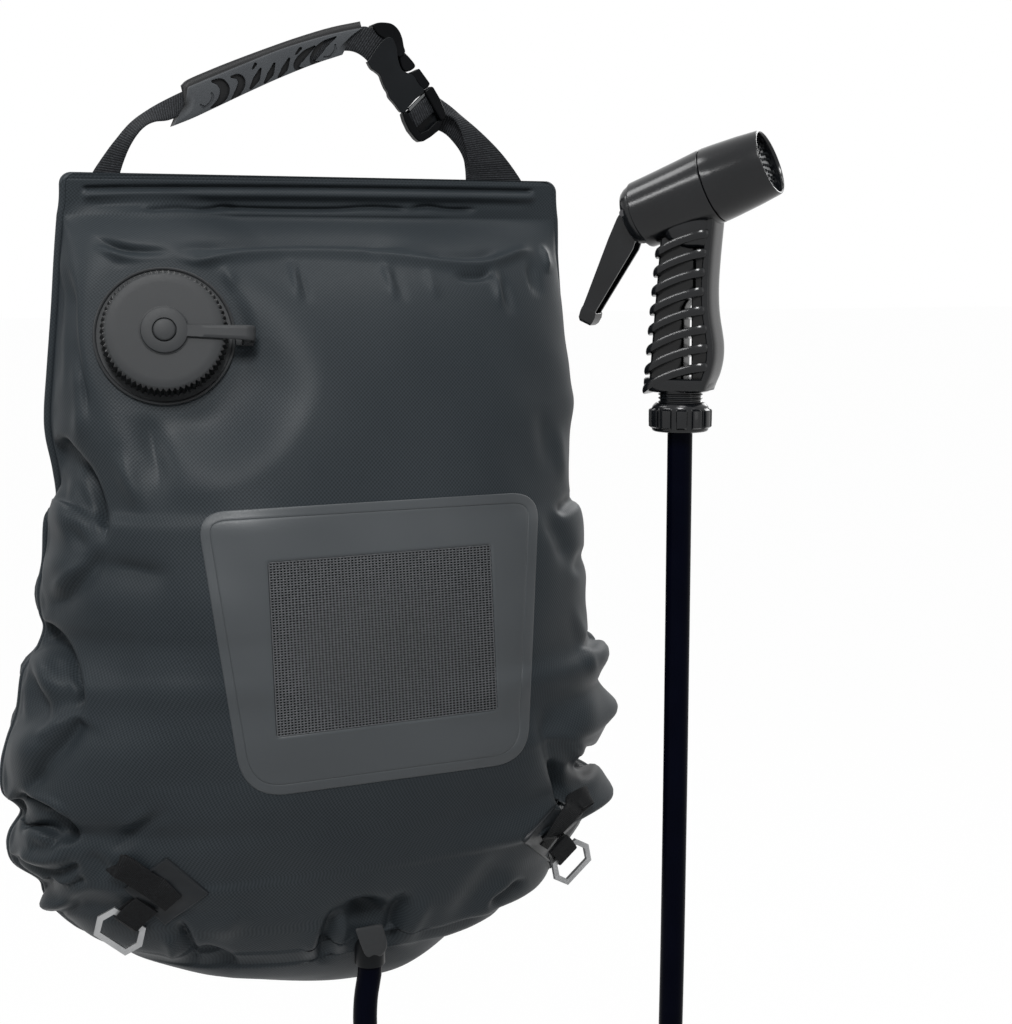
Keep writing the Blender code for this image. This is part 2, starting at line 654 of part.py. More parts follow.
for place in (0.28, 0.62):
    start = TONGUE_START + place * BASE_LENGTH
    carve(tongue, block("ladder_slot_%d" % round(place * 100), (start, -BUCKLE_THICK, -ladder_half * 0.92),
                        (start + LADDER_SLOT, BUCKLE_THICK, ladder_half * 0.92), parent=buckle))
PRONG_ROOT = TONGUE_START - FIT_GAP * 2
for label, side in (("upper", 1), ("lower", -1)):
    centre = side * (half_w - WAIST - BUCKLE_WALL - FIT_GAP * 2 - PRONG_WIDTH / 2)
    inner, outer = centre - side * PRONG_WIDTH / 2, centre + side * PRONG_WIDTH / 2
    nose = outer + side * WAIST * 0.75
    outline = [(PRONG_ROOT, inner), (PRONG_ROOT, outer), (0.71 * SOCKET_LENGTH, outer),
               (0.69 * SOCKET_LENGTH, nose), (0.50 * SOCKET_LENGTH, nose), (0.40 * SOCKET_LENGTH, outer),
               (0.32 * SOCKET_LENGTH, inner + side * PRONG_WIDTH / 4), (0.36 * SOCKET_LENGTH, inner)]
    pivot = Vector((PRONG_ROOT, 0, centre))
    local = [(x - pivot.x, z - pivot.z) for x, z in outline]
    prong = extruded("buckle_prong_" + label, local, -PRONG_THICK / 2, PRONG_THICK / 2,
                     "black_plastic", buckle)
    prong.location = pivot

# Webbing round the end bar, and the right webbing down to its foot
wrap_radius = half_t * 0.8 + FIT_GAP * 2 + WEBBING_THICK / 2
wrap_centre = BUCKLE_LENGTH - wrap_radius * 0.2
wrap_route = [Vector((TONGUE_START + 0.5 * BASE_LENGTH, -wrap_radius, 0)),
              Vector((wrap_centre, -wrap_radius, 0))]
for k in range(1, 8):
    a = math.pi * k / 8
    wrap_route.append(Vector((wrap_centre + wrap_radius * math.sin(a), -wrap_radius * math.cos(a), 0)))
wrap_route += [Vector((wrap_centre, wrap_radius, 0)),
               Vector((TONGUE_START + 0.42 * BASE_LENGTH, wrap_radius, 0))]
ribbon("webbing_wrap", [tuple(p) for p in wrap_route], [(0, 0, 1)] * len(wrap_route),
       WEBBING_WIDTH - FIT_GAP * 4, WEBBING_THICK, "webbing", buckle)
behind = wrap_radius + WEBBING_THICK + FIT_GAP * 2
right_route = [(buckle_at + buckle_dir * (TONGUE_START + 0.40 * BASE_LENGTH)) + Vector((0, behind, 0)),
               (buckle_at + buckle_dir * (TONGUE_START + 0.72 * BASE_LENGTH))
               + Vector((WEBBING_WIDTH * 0.36, behind, WEBBING_WIDTH * 0.12)),
               Vector((RIGHT_FOOT - WEBBING_WIDTH * 0.74, behind * 0.55, WEBBING_WIDTH * 0.98)),
               Vector((RIGHT_FOOT - WEBBING_WIDTH * 0.14, 0, WEBBING_WIDTH * 0.32)),
               Vector((RIGHT_FOOT, 0, -FIT_GAP)), Vector((RIGHT_FOOT, 0, -FOOT_SINK))]
RIGHT_STEPS = 20
right_points = smooth_path(right_route, RIGHT_STEPS)
right_points[right_points[:, 2] < WEBBING_WIDTH * 0.32, 1] = 0.0
right_along = np.gradient(right_points, axis=0)
right_across = np.stack([-right_along[:, 2], np.zeros(RIGHT_STEPS), right_along[:, 0]], axis=1)
right_across /= np.linalg.norm(right_across, axis=1)[:, None]
level_share = np.array([1 - smooth01(z / RIGHT_FOOT_WIDTH * 1.6) for z in right_points[:, 2]])[:, None]
right_across = right_across * (1 - level_share) + np.array([1.0, 0.0, 0.0]) * level_share
right_across /= np.linalg.norm(right_across, axis=1)[:, None]
right_widths = np.linspace(WEBBING_WIDTH - FIT_GAP * 4, RIGHT_FOOT_WIDTH - FIT_GAP * 4, RIGHT_STEPS)
ribbon("webbing_right", right_points, right_across, right_widths, WEBBING_THICK, "webbing", bag)

# Fill mouth: a flanged neck welded to the front sheet, closed by a knurled screw cap
cap_normal = Vector((-CAP_SLOPE_ACROSS, -1, CAP_SLOPE_DOWN)).normalized()
cap_right = Vector((math.cos(math.radians(22)), -math.sin(math.radians(22)), 0))
cap_right = (cap_right - cap_normal * cap_right.dot(cap_normal)).normalized()
cap_up = cap_normal.cross(cap_right)
cap_axes = Matrix((cap_right, cap_up, cap_normal)).transposed()
mouth = empty("mouth_frame", bag, (-cap_across, -CAP_FORWARD, -CAP_DOWN), cap_axes.to_euler())
flange_low = SURFACE_GAP
flange_high = flange_low + FLANGE_THICK
neck = turned("fill_neck", [(NECK_BORE, -NECK_INSIDE), (NECK_RADIUS, -NECK_INSIDE), (NECK_RADIUS, flange_low),
                            (FLANGE_RADIUS, flange_low), (FLANGE_RADIUS - FLANGE_THICK / 3, flange_high),
                            (NECK_RADIUS, flange_high), (NECK_RADIUS, flange_high + NECK_RISE),
                            (NECK_BORE, flange_high + NECK_RISE)], "cap_plastic", 36, mouth)
seat_radius = TETHER_REACH + FIT_GAP
seat_level = flange_low - FIT_GAP
hole = turned("mouth_hole", [(0, -FLANGE_RADIUS / 2), (NECK_RADIUS + FIT_GAP, -FLANGE_RADIUS / 2),
                             (NECK_RADIUS + FIT_GAP, seat_level), (seat_radius, seat_level),
                             (seat_radius, FLANGE_RADIUS / 2), (0, FLANGE_RADIUS / 2)],
              "cap_plastic", 36, mouth)
carve(front, hole)

gasket_low = flange_high + NECK_RISE + FIT_GAP
cap_inner_top = gasket_low + GASKET_THICK + FIT_GAP
cap_low = flange_high + FIT_GAP
cap_high = cap_inner_top + CAP_TOP
skirt_bore = NECK_RADIUS + FIT_GAP * 2
turned("cap_gasket", [(NECK_BORE, gasket_low), (NECK_RADIUS, gasket_low),
                      (NECK_RADIUS, gasket_low + GASKET_THICK), (NECK_BORE, gasket_low + GASKET_THICK)],
       "seal_rubber", 24, mouth)
BOSS_RADIUS = TETHER_WIDTH * 0.84
RING_RADIUS = TETHER_WIDTH * 1.68
CAP_SIDES = 72
boss_high = cap_high + TETHER_THICK + FIT_GAP * 2
cap_rim = CAP_RADIUS - KNURL_DEPTH
cap = turned("fill_cap", [(0, cap_inner_top), (skirt_bore, cap_inner_top), (skirt_bore, cap_low),
                          (cap_rim, cap_low),
                          (cap_rim, cap_high - KNURL_DEPTH), (cap_rim - KNURL_DEPTH * 2, cap_high),
                          (BOSS_RADIUS, cap_high), (BOSS_RADIUS, boss_high), (BOSS_RADIUS * 1.25, boss_high),
                          (BOSS_RADIUS * 1.25, boss_high + TETHER_THICK / 2),
                          (BOSS_RADIUS, boss_high + TETHER_THICK), (0, boss_high + TETHER_THICK)],
             "cap_plastic", CAP_SIDES, mouth)
for vert in cap.data.vertices:
    radius = math.hypot(vert.co.x, vert.co.y)
    on_rim = abs(radius - cap_rim) < KNURL_DEPTH / 10
    angle = math.atan2(vert.co.y, vert.co.x)
    tooth = round(angle / (2 * math.pi / CAP_SIDES)) % 2
    if on_rim and tooth:
        grow = CAP_RADIUS / cap_rim
        vert.co.x *= grow
        vert.co.y *= grow

ring_low = cap_high + FIT_GAP
ring_high = ring_low + TETHER_THICK
strap_half = TETHER_WIDTH / 2
fold_low = flange_low + FLANGE_THICK + FIT_GAP
neck_angle = math.asin(strap_half / RING_RADIUS)
ring_steps = 22
hole_radius = BOSS_RADIUS + FIT_GAP * 3
tether_outer = []
tether_inner = []
for k in range(ring_steps + 1):
    a = neck_angle + (2 * math.pi - 2 * neck_angle) * k / ring_steps
    tether_outer.append((RING_RADIUS * math.cos(a), RING_RADIUS * math.sin(a)))
    tether_inner.append((hole_radius * math.cos(a), hole_radius * math.sin(a)))


def tether_body():
    """Ring round the cap's boss, a flat strap outwards, and the fold down beside the cap."""
    work = bmesh.new()
    low_out = [work.verts.new((x, y, ring_low)) for x, y in tether_outer]
    low_in = [work.verts.new((x, y, ring_low)) for x, y in tether_inner]
    high_out = [work.verts.new((x, y, ring_high)) for x, y in tether_outer]
    high_in = [work.verts.new((x, y, ring_high)) for x, y in tether_inner]
    count = ring_steps + 1
    for k in range(count):
        n = (k + 1) % count
        if n:
            work.faces.new((low_out[k], low_out[n], high_out[n], high_out[k]))
        work.faces.new((low_in[n], low_in[k], high_in[k], high_in[n]))
        work.faces.new((low_out[n], low_out[k], low_in[k], low_in[n]))
        work.faces.new((high_out[k], high_out[n], high_in[n], high_in[k]))
    stations = [(TETHER_REACH - TETHER_THICK * 1.6, ring_low, TETHER_REACH - TETHER_THICK * 1.6, ring_high),
                (TETHER_REACH - TETHER_THICK, ring_low, TETHER_REACH, ring_high - TETHER_THICK / 2),
                (TETHER_REACH - TETHER_THICK, fold_low, TETHER_REACH, fold_low)]
    ring = [low_out[0], high_out[0], high_out[-1], low_out[-1]]
    for x_low, z_low, x_high, z_high in stations:
        after = [work.verts.new((x_low, strap_half, z_low)), work.verts.new((x_high, strap_half, z_high)),
                 work.verts.new((x_high, -strap_half, z_high)), work.verts.new((x_low, -strap_half, z_low))]
        for c in range(4):
            n = (c + 1) % 4
            work.faces.new((ring[c], after[c], after[n], ring[n]))
        ring = after
    work.faces.new(ring)
    mesh = bpy.data.meshes.new("cap_tether")
    bmesh.ops.recalc_face_normals(work, faces=work.faces)
    work.to_mesh(mesh)
    work.free()
    made = bpy.data.objects.new("cap_tether", mesh)
    bpy.context.collection.objects.link(made)
    mesh.materials.append(look("cap_plastic"))
    made.parent = mouth
    return made


tether_body()
ANCHOR_RADIUS = FLANGE_RADIUS + FIT_GAP
block("tether_anchor", (ANCHOR_RADIUS, -strap_half, flange_low),
      (TETHER_REACH, strap_half, flange_low + FLANGE_THICK), "cap_plastic", mouth)


# Pocket panel, laid on the front sheet, with the net in its window
def pocket_half(z):
    part = (z + POCKET_TOP) / (POCKET_TOP - POCKET_FOOT)
    return POCKET_HALF_TOP + (POCKET_HALF_FOOT - POCKET_HALF_TOP) * part


def pocket_outline(steps_across, steps_down):
    """Tapered shield with rounded corners, walked round in equal counts."""
    points = []
    mid_z = -(POCKET_TOP + POCKET_FOOT) / 2
    half_tall = (POCKET_FOOT - POCKET_TOP) / 2
    counts = {"top": steps_across, "right": steps_down, "foot": steps_across, "left": steps_down}
    for side, count in counts.items():
        for k in range(count):
            u = 2 * k / count - 1
            a, b = {"top": (u, 1), "right": (1, -u), "foot": (-u, -1), "left": (-1, u)}[side]
            points.append((a, b))
    outer = []
    for a, b in points:
        z = mid_z + b * half_tall
        x = a * pocket_half(z)
        cx = pocket_half(z) - POCKET_CORNER
        cz = half_tall - POCKET_CORNER
        dx, dz = abs(x) - cx, abs(b * half_tall) - cz
        if dx > 0 and dz > 0:
            norm = POCKET_CORNER / max(math.hypot(dx, dz), FIT_GAP)
            x = math.copysign(cx + dx * norm, x)
            z = mid_z + math.copysign(cz + dz * norm, b)
        outer.append((x, z))
    inner = []
    mid_w = -(WINDOW_TOP + WINDOW_FOOT) / 2
    for a, b in points:
        inner.append((a * WINDOW_HALF, mid_w + b * (WINDOW_FOOT - WINDOW_TOP) / 2))
    return outer, inner


pocket_out, pocket_in = pocket_outline(12, 10)
middle = [((a[0] + b[0]) / 2, (a[1] + b[1]) / 2) for a, b in zip(pocket_out, pocket_in)]
rings = (pocket_out, middle, pocket_in)
count = len(pocket_out)
verts = []
for lift in (LAID_GAP, LAID_GAP + POCKET_THICK):
    for ring in rings:
        verts += [(x, front_y(x, z, lift), z) for x, z in ring]
faces = []
for k in range(count):
    n = (k + 1) % count
    for layer in (0, 3):
        for r in (0, 1):
            a, b = (layer + r) * count, (layer + r + 1) * count
            faces.append((a + k, a + n, b + n, b + k))
    for r in (0, 2):
        a, b = r * count, (r + 3) * count
        faces.append((a + k, b + k, b + n, a + n))
solid("pocket_panel", verts, faces, "pocket_film", bag)

NET_COLUMNS, NET_ROWS = 12, 10


def net_body():
    """A laid net with square gaps, one flat strand pattern with walls round every gap."""
    half = WINDOW_HALF - FIT_GAP
    top, foot = -WINDOW_TOP - FIT_GAP, -WINDOW_FOOT + FIT_GAP
    xs, zs = [], []
    for places, low, high, number in ((xs, -half, half, NET_COLUMNS), (zs, foot, top, NET_ROWS)):
        pitch = (high - low - NET_STRAND) / number
        for k in range(number + 1):
            places += [low + k * pitch, low + k * pitch + NET_STRAND]
    lifts = (LAID_GAP, LAID_GAP + NET_THICK)
    verts = [(x, front_y(x, z, lift), z) for lift in lifts for z in zs for x in xs]
    wide, tall = len(xs), len(zs)
    layer = wide * tall
    faces = []

    def solid_cell(c, r):
        return 0 <= c < wide - 1 and 0 <= r < tall - 1 and not (c % 2 == 1 and r % 2 == 1)

    for r in range(tall - 1):
        for c in range(wide - 1):
            if not solid_cell(c, r):
                continue
            a, b = r * wide + c, r * wide + c + 1
            d, e = a + wide, b + wide
            faces.append((a, b, e, d))
            faces.append((layer + a, layer + d, layer + e, layer + b))
            for i, j, nc, nr in ((a, b, c, r - 1), (b, e, c + 1, r), (e, d, c, r + 1), (d, a, c - 1, r)):
                if not solid_cell(nc, nr):
                    faces.append((i, layer + i, layer + j, j))
    return solid("pocket_net", verts, faces, "net", bag)


net_body()


# Tie-downs: a welded patch, a folded tab, a strap loop and a steel ring at each lower corner
def surface_frame(x, z):
    """Point and outward normal of the front sheet."""
    step = FRONT_DEPTH / 200
    here = Vector((x, front_y(x, z), z))
    along_x = Vector((x + step, front_y(x + step, z), z)) - here
    along_z = Vector((x, front_y(x, z + step), z + step)) - here
    return here, along_x.cross(along_z).normalized()


LOOP_START_FALL = 38.0
LOOP_END_FALL = 56.0
LOOP_START_SHARES = {"left": (0.25, 0.10), "right": (0.10, 0.25)}
TAB_WAY_SHARES = (0.84, 0.55)
TAB_START_SHARES = (-0.25, -0.03)
tie_left = (TIE_LEFT_INSET - HEM_WIDTH / 2, BAG_TOP - BAG_HEIGHT * TIE_LEFT_SHARE)
tie_right = (HEM_WIDTH / 2 - TIE_RIGHT_INSET, BAG_TOP - BAG_HEIGHT * TIE_RIGHT_SHARE)
for label, side, place, loop_run in (("left", -1, tie_left, LOOP_RUN_LEFT),
                                     ("right", 1, tie_right, LOOP_RUN_RIGHT)):
    here, normal = surface_frame(*place)
    level = Vector((-normal.y, normal.x, 0)).normalized()
    down = level.cross(normal)
    if down.z > 0:
        down = -down
    if level.x < 0:
        level = -level
    half = PATCH_SIDE / 2
    turn = math.radians(45)
    steps = 6
    lifted = []
    for lift in (PATCH_GAP, PATCH_GAP + PATCH_THICK):
        for i in range(steps + 1):
            for j in range(steps + 1):
                a, b = (2 * i / steps - 1) * half, (2 * j / steps - 1) * half
                p = here + level * (a * math.cos(turn) - b * math.sin(turn)) \
                    - down * (a * math.sin(turn) + b * math.cos(turn))
                lifted.append((p.x, front_y(p.x, p.z, lift), p.z))
    wide = steps + 1
    layer = wide * wide
    faces = []
    for i in range(steps):
        for j in range(steps):
            a = i * wide + j
            faces.append((a, a + 1, a + wide + 1, a + wide))
            faces.append((layer + a, layer + a + wide, layer + a + wide + 1, layer + a + 1))
    for k in range(steps):
        for a, b in ((k, k + 1), (steps * wide + k, steps * wide + k + 1), (k * wide, (k + 1) * wide),
                     (k * wide + steps, (k + 1) * wide + steps)):
            faces.append((a, b, layer + b, layer + a))
    solid("tie_patch_" + label, lifted, faces, "coated_fabric", bag)

    # The loop strap lies on the patch, runs to its lower outer edge and goes round the ring's bar
    strap_lift = PATCH_GAP + PATCH_THICK + STRAP_GAP + TIE_STRAP_THICK / 2
    out_way = level * side
    start_out, start_down = LOOP_START_SHARES[label]
    p = here + out_way * PATCH_SIDE * start_out + down * PATCH_SIDE * start_down
    stops = []
    for k in range(6):
        stops.append(Vector((p.x, front_y(p.x, p.z, strap_lift), p.z)))
        bend = math.radians(LOOP_START_FALL + (LOOP_END_FALL - LOOP_START_FALL) * k / 5)
        p = p + (out_way * math.cos(bend) + down * math.sin(bend)) * loop_run / 5
    swing = [(b - a).normalized() for a, b in zip(stops[:-1], stops[1:])]
    loop_radius = math.hypot(RING_BAR, RING_THICK) / 2 + FIT_GAP * 2 + TIE_STRAP_THICK / 2
    run = swing[-1]
    across = run.cross(surface_frame(stops[-1].x, stops[-1].z)[1]).normalized()
    lift_dir = across.cross(run).normalized()
    if lift_dir.y > 0:
        lift_dir = -lift_dir
    centre = stops[-1] + lift_dir * loop_radius
    path = list(stops)
    for k in range(1, 12):
        a = math.radians(26.5 * k)
        path.append(centre + run * loop_radius * math.sin(a) - lift_dir * loop_radius * math.cos(a))
    strap_sides = []
    for point, way in zip(stops, swing[:1] + swing):
        side_way = way.cross(surface_frame(point.x, point.z)[1]).normalized()
        strap_sides.append(tuple(side_way if side_way.dot(across) > 0 else -side_way))
    strap_sides += [tuple(across)] * (len(path) - len(stops))
    ribbon("tie_loop_" + label, [tuple(p) for p in path], strap_sides,
           TIE_STRAP_WIDTH, TIE_STRAP_THICK, "webbing", bag)

    # Steel ring, hanging plumb from the bar
    ring_axis = across if across.x > 0 else -across
    hang = Vector((0, 0, -1))
    hang = (hang - ring_axis * hang.dot(ring_axis)).normalized()
    facing = ring_axis.cross(hang).normalized()
    axes = Matrix((ring_axis, -facing, -hang)).transposed()
    ring_frame = empty("ring_frame_" + label, bag, centre, axes.to_euler())
    low = -RING_HEIGHT + RING_BAR / 2
    top = RING_BAR / 2
    mid = (low + top) / 2
    outer = [(RING_TOP_WIDTH / 2, top), (RING_MID_WIDTH / 2, mid), (RING_TOP_WIDTH / 2, low),
             (-RING_TOP_WIDTH / 2, low), (-RING_MID_WIDTH / 2, mid), (-RING_TOP_WIDTH / 2, top)]
    slim = RING_BAR * 0.62
    inner = [(RING_TOP_WIDTH / 2 - slim, top - RING_BAR), (RING_MID_WIDTH / 2 - RING_BAR * 1.15, mid),
             (RING_TOP_WIDTH / 2 - slim, low + RING_BAR), (-RING_TOP_WIDTH / 2 + slim, low + RING_BAR),
             (-RING_MID_WIDTH / 2 + RING_BAR * 1.15, mid), (-RING_TOP_WIDTH / 2 + slim, top - RING_BAR)]
    frame_plate("hex_ring_" + label, outer, inner, -RING_THICK / 2, RING_THICK / 2, "ring_steel", ring_frame)

    # Folded tab: the strap's free end, turned back on itself above the patch
    tab_way = (out_way * TAB_WAY_SHARES[0] - down * TAB_WAY_SHARES[1]).normalized()
    tab_start = here + out_way * PATCH_SIDE * TAB_START_SHARES[0] + down * PATCH_SIDE * TAB_START_SHARES[1]
    tab_route = []
    for k in range(7):
        p = tab_start + tab_way * TAB_RUN * k / 6
        tab_route.append(Vector((p.x, front_y(p.x, p.z, strap_lift), p.z)))
    turn_way = (tab_route[-1] - tab_route[-2]).normalized()
    tab_across = turn_way.cross(surface_frame(tab_route[-1].x, tab_route[-1].z)[1]).normalized()
    tab_lift = tab_across.cross(turn_way).normalized()
    if tab_lift.y > 0:
        tab_lift = -tab_lift
    fold = TIE_STRAP_THICK * 1.4
    centre = tab_route[-1] + tab_lift * fold
    for k in range(1, 6):
        a = math.radians(36 * k)
        tab_route.append(centre + turn_way * fold * math.sin(a) - tab_lift * fold * math.cos(a))
    tab_route.append(tab_route[-1] - turn_way * PATCH_SIDE * 0.36 + tab_lift * TIE_STRAP_THICK)
    ribbon("tie_tab_" + label, [tuple(p) for p in tab_route], [tuple(tab_across)] * len(tab_route),
           TIE_STRAP_WIDTH * 0.8, TIE_STRAP_THICK, "webbing", bag)

# Outlet: a spigot through the front sheet's underside, a moulded hood and the hose
outlet_at = Vector((OUTLET_ACROSS, -FRONT_DEPTH * OUTLET_FORWARD_SHARE, BAG_TOP - BAG_HEIGHT * OUTLET_SHARE))
outlet = empty("outlet_frame", bag, outlet_at)
spigot_radius = HOSE_BORE / 2 - FIT_GAP
spigot_bore = spigot_radius * 0.66
spigot_top = HOOD_HEIGHT * 0.95
turned("outlet_spigot", [(spigot_bore, FIT_GAP), (spigot_radius, FIT_GAP), (spigot_radius, spigot_top),
                         (spigot_bore, spigot_top)], "black_plastic", 20, outlet)
spigot_hole = turned("spigot_hole", [(0, -HOOD_HEIGHT), (spigot_radius + FIT_GAP, -HOOD_HEIGHT),
                                     (spigot_radius + FIT_GAP, HOOD_HEIGHT * 2), (0, HOOD_HEIGHT * 2)],
                     "black_plastic", 20, outlet)
carve(front, spigot_hole)
bag_form = sheet_grid(FRONT_DEPTH, -1, -SURFACE_GAP, FRONT_COLUMNS, FRONT_ROWS, True)
form_faces = grid_faces(FRONT_COLUMNS, FRONT_ROWS, 0, False)
form_wide = FRONT_COLUMNS + 1
form_edge = list(range(form_wide))
form_edge += [r * form_wide + FRONT_COLUMNS for r in range(1, FRONT_ROWS)]
form_edge += [FRONT_ROWS * form_wide]
form_edge += [r * form_wide for r in range(FRONT_ROWS - 1, 0, -1)]
form_faces.append(tuple(form_edge))
bag_tool = solid("bag_tool", bag_form, form_faces, "coated_fabric", bag)
hood_bore = HOSE_DIAMETER / 2 + FIT_GAP * 2
hood_outer = hood_bore + HOOD_WALL
hood_foot = -HOSE_DIAMETER * 0.28
hood_head = hood_foot + HOOD_HEIGHT
hood = turned("outlet_hood", [(hood_bore, hood_foot), (hood_outer, hood_foot),
                              (hood_outer, hood_head - HOOD_WALL * 3),
                              (hood_outer * 0.72, hood_head - HOOD_WALL),
                              (spigot_radius + FIT_GAP, hood_head),
                              (spigot_radius + FIT_GAP, FIT_GAP * 3), (hood_bore, FIT_GAP * 3)],
              "cap_plastic", 28, outlet)
carve(hood, bag_tool)

# Handset: local X is the way the barrel points, seen from above, and Z is up
hand = empty("handset_frame", bag, HANDSET_AT, (0, 0, math.radians(HANDSET_TURN)))
hose_radius = HOSE_DIAMETER / 2
tail_flange = hose_radius + FIT_GAP * 4
nut_bore = tail_flange + FIT_GAP
washer_low = NUT_HEIGHT * 0.45
neck_low = washer_low + NUT_HEIGHT * 0.12
neck_bore = NECK_OUTER * 0.5
nut_thread_bore = NECK_OUTER + FIT_GAP
nut_sides = NUT_RIBS * 4
nut = turned("union_nut", [(nut_bore, 0), (NUT_RADIUS - NUT_TAPER, 0), (NUT_RADIUS, NUT_HEIGHT * 0.12),
                           (NUT_RADIUS, NUT_HEIGHT * 0.92), (NUT_RADIUS - NUT_TAPER, NUT_HEIGHT),
                           (nut_thread_bore, NUT_HEIGHT), (nut_thread_bore, NUT_HEIGHT * 0.16),
                           (nut_bore, NUT_HEIGHT * 0.16)], "black_plastic", nut_sides, hand)
for vert in nut.data.vertices:
    radius = math.hypot(vert.co.x, vert.co.y)
    if radius < NUT_RADIUS - NUT_TAPER * 1.5:
        continue
    phase = round(math.atan2(vert.co.y, vert.co.x) / (2 * math.pi / nut_sides)) % 4
    if phase in (2, 3):
        shrink = (radius - RIB_DEPTH) / radius
        vert.co.x *= shrink
        vert.co.y *= shrink
tail_level = NUT_HEIGHT * 0.16 + FIT_GAP
turned("hose_tail", [(spigot_bore, FIT_GAP), (tail_flange, FIT_GAP), (tail_flange, tail_level),
                     (nut_thread_bore - FIT_GAP, tail_level),
                     (nut_thread_bore - FIT_GAP, washer_low - FIT_GAP), (spigot_bore, washer_low - FIT_GAP)],
       "black_plastic", 24, hand)
turned("union_washer", [(spigot_bore, washer_low), (nut_thread_bore - FIT_GAP, washer_low),
                        (nut_thread_bore - FIT_GAP, neck_low - FIT_GAP), (spigot_bore, neck_low - FIT_GAP)],
       "seal_rubber", 20, hand)

barrel_up = GRIP_FOOT + BODY_HEIGHT + BARREL_CLEAR
barrel_tilt = math.radians(90 - BARREL_TILT)
barrel_frame = empty("barrel_frame", hand, (-BARREL_BACK, 0, barrel_up), (0, barrel_tilt, 0))
lean_up = math.radians(BARREL_TILT)
barrel_dir = Vector((math.cos(lean_up), 0, math.sin(lean_up)))
barrel_at = Vector((-BARREL_BACK, 0, barrel_up))


def barrel_outer(gap):
    """Outline of the barrel's skin, from dome to split, grown by gap."""
    r0, r1 = BARREL_REAR_RADIUS + gap, BARREL_RADIUS + gap
    return [(0, -DOME_DEPTH - gap), (r0 * 0.50, -DOME_DEPTH * 0.93 - gap),
            (r0 * 0.83, -DOME_DEPTH * 0.58 - gap),
            (r0 * 0.97, -DOME_DEPTH * 0.12), (r0, DOME_DEPTH * 0.3), (r1, BARREL_LENGTH)]


collar_radius = BARREL_RADIUS - SLEEVE_WALL - FIT_GAP * 4
cavity_radius = collar_radius - BARREL_WALL * 0.7
barrel = turned("handset_barrel", barrel_outer(0) + [
    (collar_radius, BARREL_LENGTH), (collar_radius * 0.96, BARREL_LENGTH + COLLAR_LENGTH),
    (cavity_radius * 0.96, BARREL_LENGTH + COLLAR_LENGTH), (cavity_radius * 0.92, DOME_DEPTH * 0.5),
    (cavity_radius * 0.6, -DOME_DEPTH * 0.45), (0, -DOME_DEPTH * 0.55)], "black_plastic", 36, barrel_frame)

sleeve_low = BARREL_LENGTH + SPLIT_GAP
sleeve_high = BARREL_LENGTH + SLEEVE_LENGTH
sleeve_bore = collar_radius + FIT_GAP * 2
mouth_bore = SLEEVE_MOUTH_RADIUS - SLEEVE_WALL
plate_low = sleeve_high - PLATE_RECESS - PLATE_THICK
turned("nozzle_sleeve", [(sleeve_bore, sleeve_low), (BARREL_RADIUS - SPLIT_GAP, sleeve_low),
                         (SLEEVE_MOUTH_RADIUS, sleeve_high - SPLIT_GAP),
                         (SLEEVE_MOUTH_RADIUS - SPLIT_GAP, sleeve_high),
                         (mouth_bore, sleeve_high), (mouth_bore, plate_low),
                         (mouth_bore - SLEEVE_WALL, plate_low - FIT_GAP),
                         (mouth_bore - SLEEVE_WALL, plate_low - SLEEVE_WALL),
                         (sleeve_bore, plate_low - SLEEVE_WALL * 3)],
       "black_plastic", 36, barrel_frame)
plate_radius = mouth_bore - FIT_GAP
plate_foot = plate_low + FIT_GAP
plate = turned("spray_plate", [(0, plate_foot), (plate_radius, plate_foot),
                               (plate_radius, plate_foot + PLATE_THICK), (0, plate_foot + PLATE_THICK)],
               "black_plastic", 36, barrel_frame)
jets = []
for ring in range(JET_RINGS + 1):
    around = 1 if ring == 0 else 6 * ring
    reach = plate_radius * 0.82 * ring / JET_RINGS
    for k in range(around):
        a = 2 * math.pi * k / around
        jets.append((reach * math.cos(a), reach * math.sin(a)))
jet_verts, jet_faces = [], []
for x, y in jets:
    start = len(jet_verts)
    for z in (plate_low - PLATE_THICK, plate_low + PLATE_THICK * 2):
        for k in range(JET_SIDES):
            a = 2 * math.pi * k / JET_SIDES
            jet_verts.append((x + JET_RADIUS * math.cos(a), y + JET_RADIUS * math.sin(a), z))
    jet_faces += [tuple(start + k for k in reversed(range(JET_SIDES))),
                  tuple(start + JET_SIDES + k for k in range(JET_SIDES))]
    jet_faces += [(start + k, start + (k + 1) % JET_SIDES, start + JET_SIDES + (k + 1) % JET_SIDES,
                   start + JET_SIDES + k) for k in range(JET_SIDES)]
carve(plate, solid("jet_tool", jet_verts, jet_faces, "black_plastic", barrel_frame))

# Valve: the seat in the barrel, and the stem with its seal
seat_low = BARREL_LENGTH * 0.62
seat_bore = SEAL_RADIUS * 0.72
seat_edge = cavity_radius * 0.92 - FIT_GAP
turned("valve_seat", [(seat_bore, seat_low), (seat_edge, seat_low),
                      (seat_edge, seat_low + BARREL_WALL), (seat_bore, seat_low + BARREL_WALL)],
       "black_plastic", 32, barrel_frame)
seal_low = seat_low + BARREL_WALL + FIT_GAP
stem_low = seal_low - STEM_LENGTH * 0.72
turned("valve_stem", [(0, stem_low), (STEM_RADIUS, stem_low), (STEM_RADIUS, seal_low + PLATE_THICK + FIT_GAP),
                      (SEAL_RADIUS * 0.8, seal_low + PLATE_THICK + FIT_GAP),
                      (SEAL_RADIUS * 0.8, seal_low + PLATE_THICK * 2), (0, seal_low + PLATE_THICK * 2)],
       "black_plastic", 20, barrel_frame)
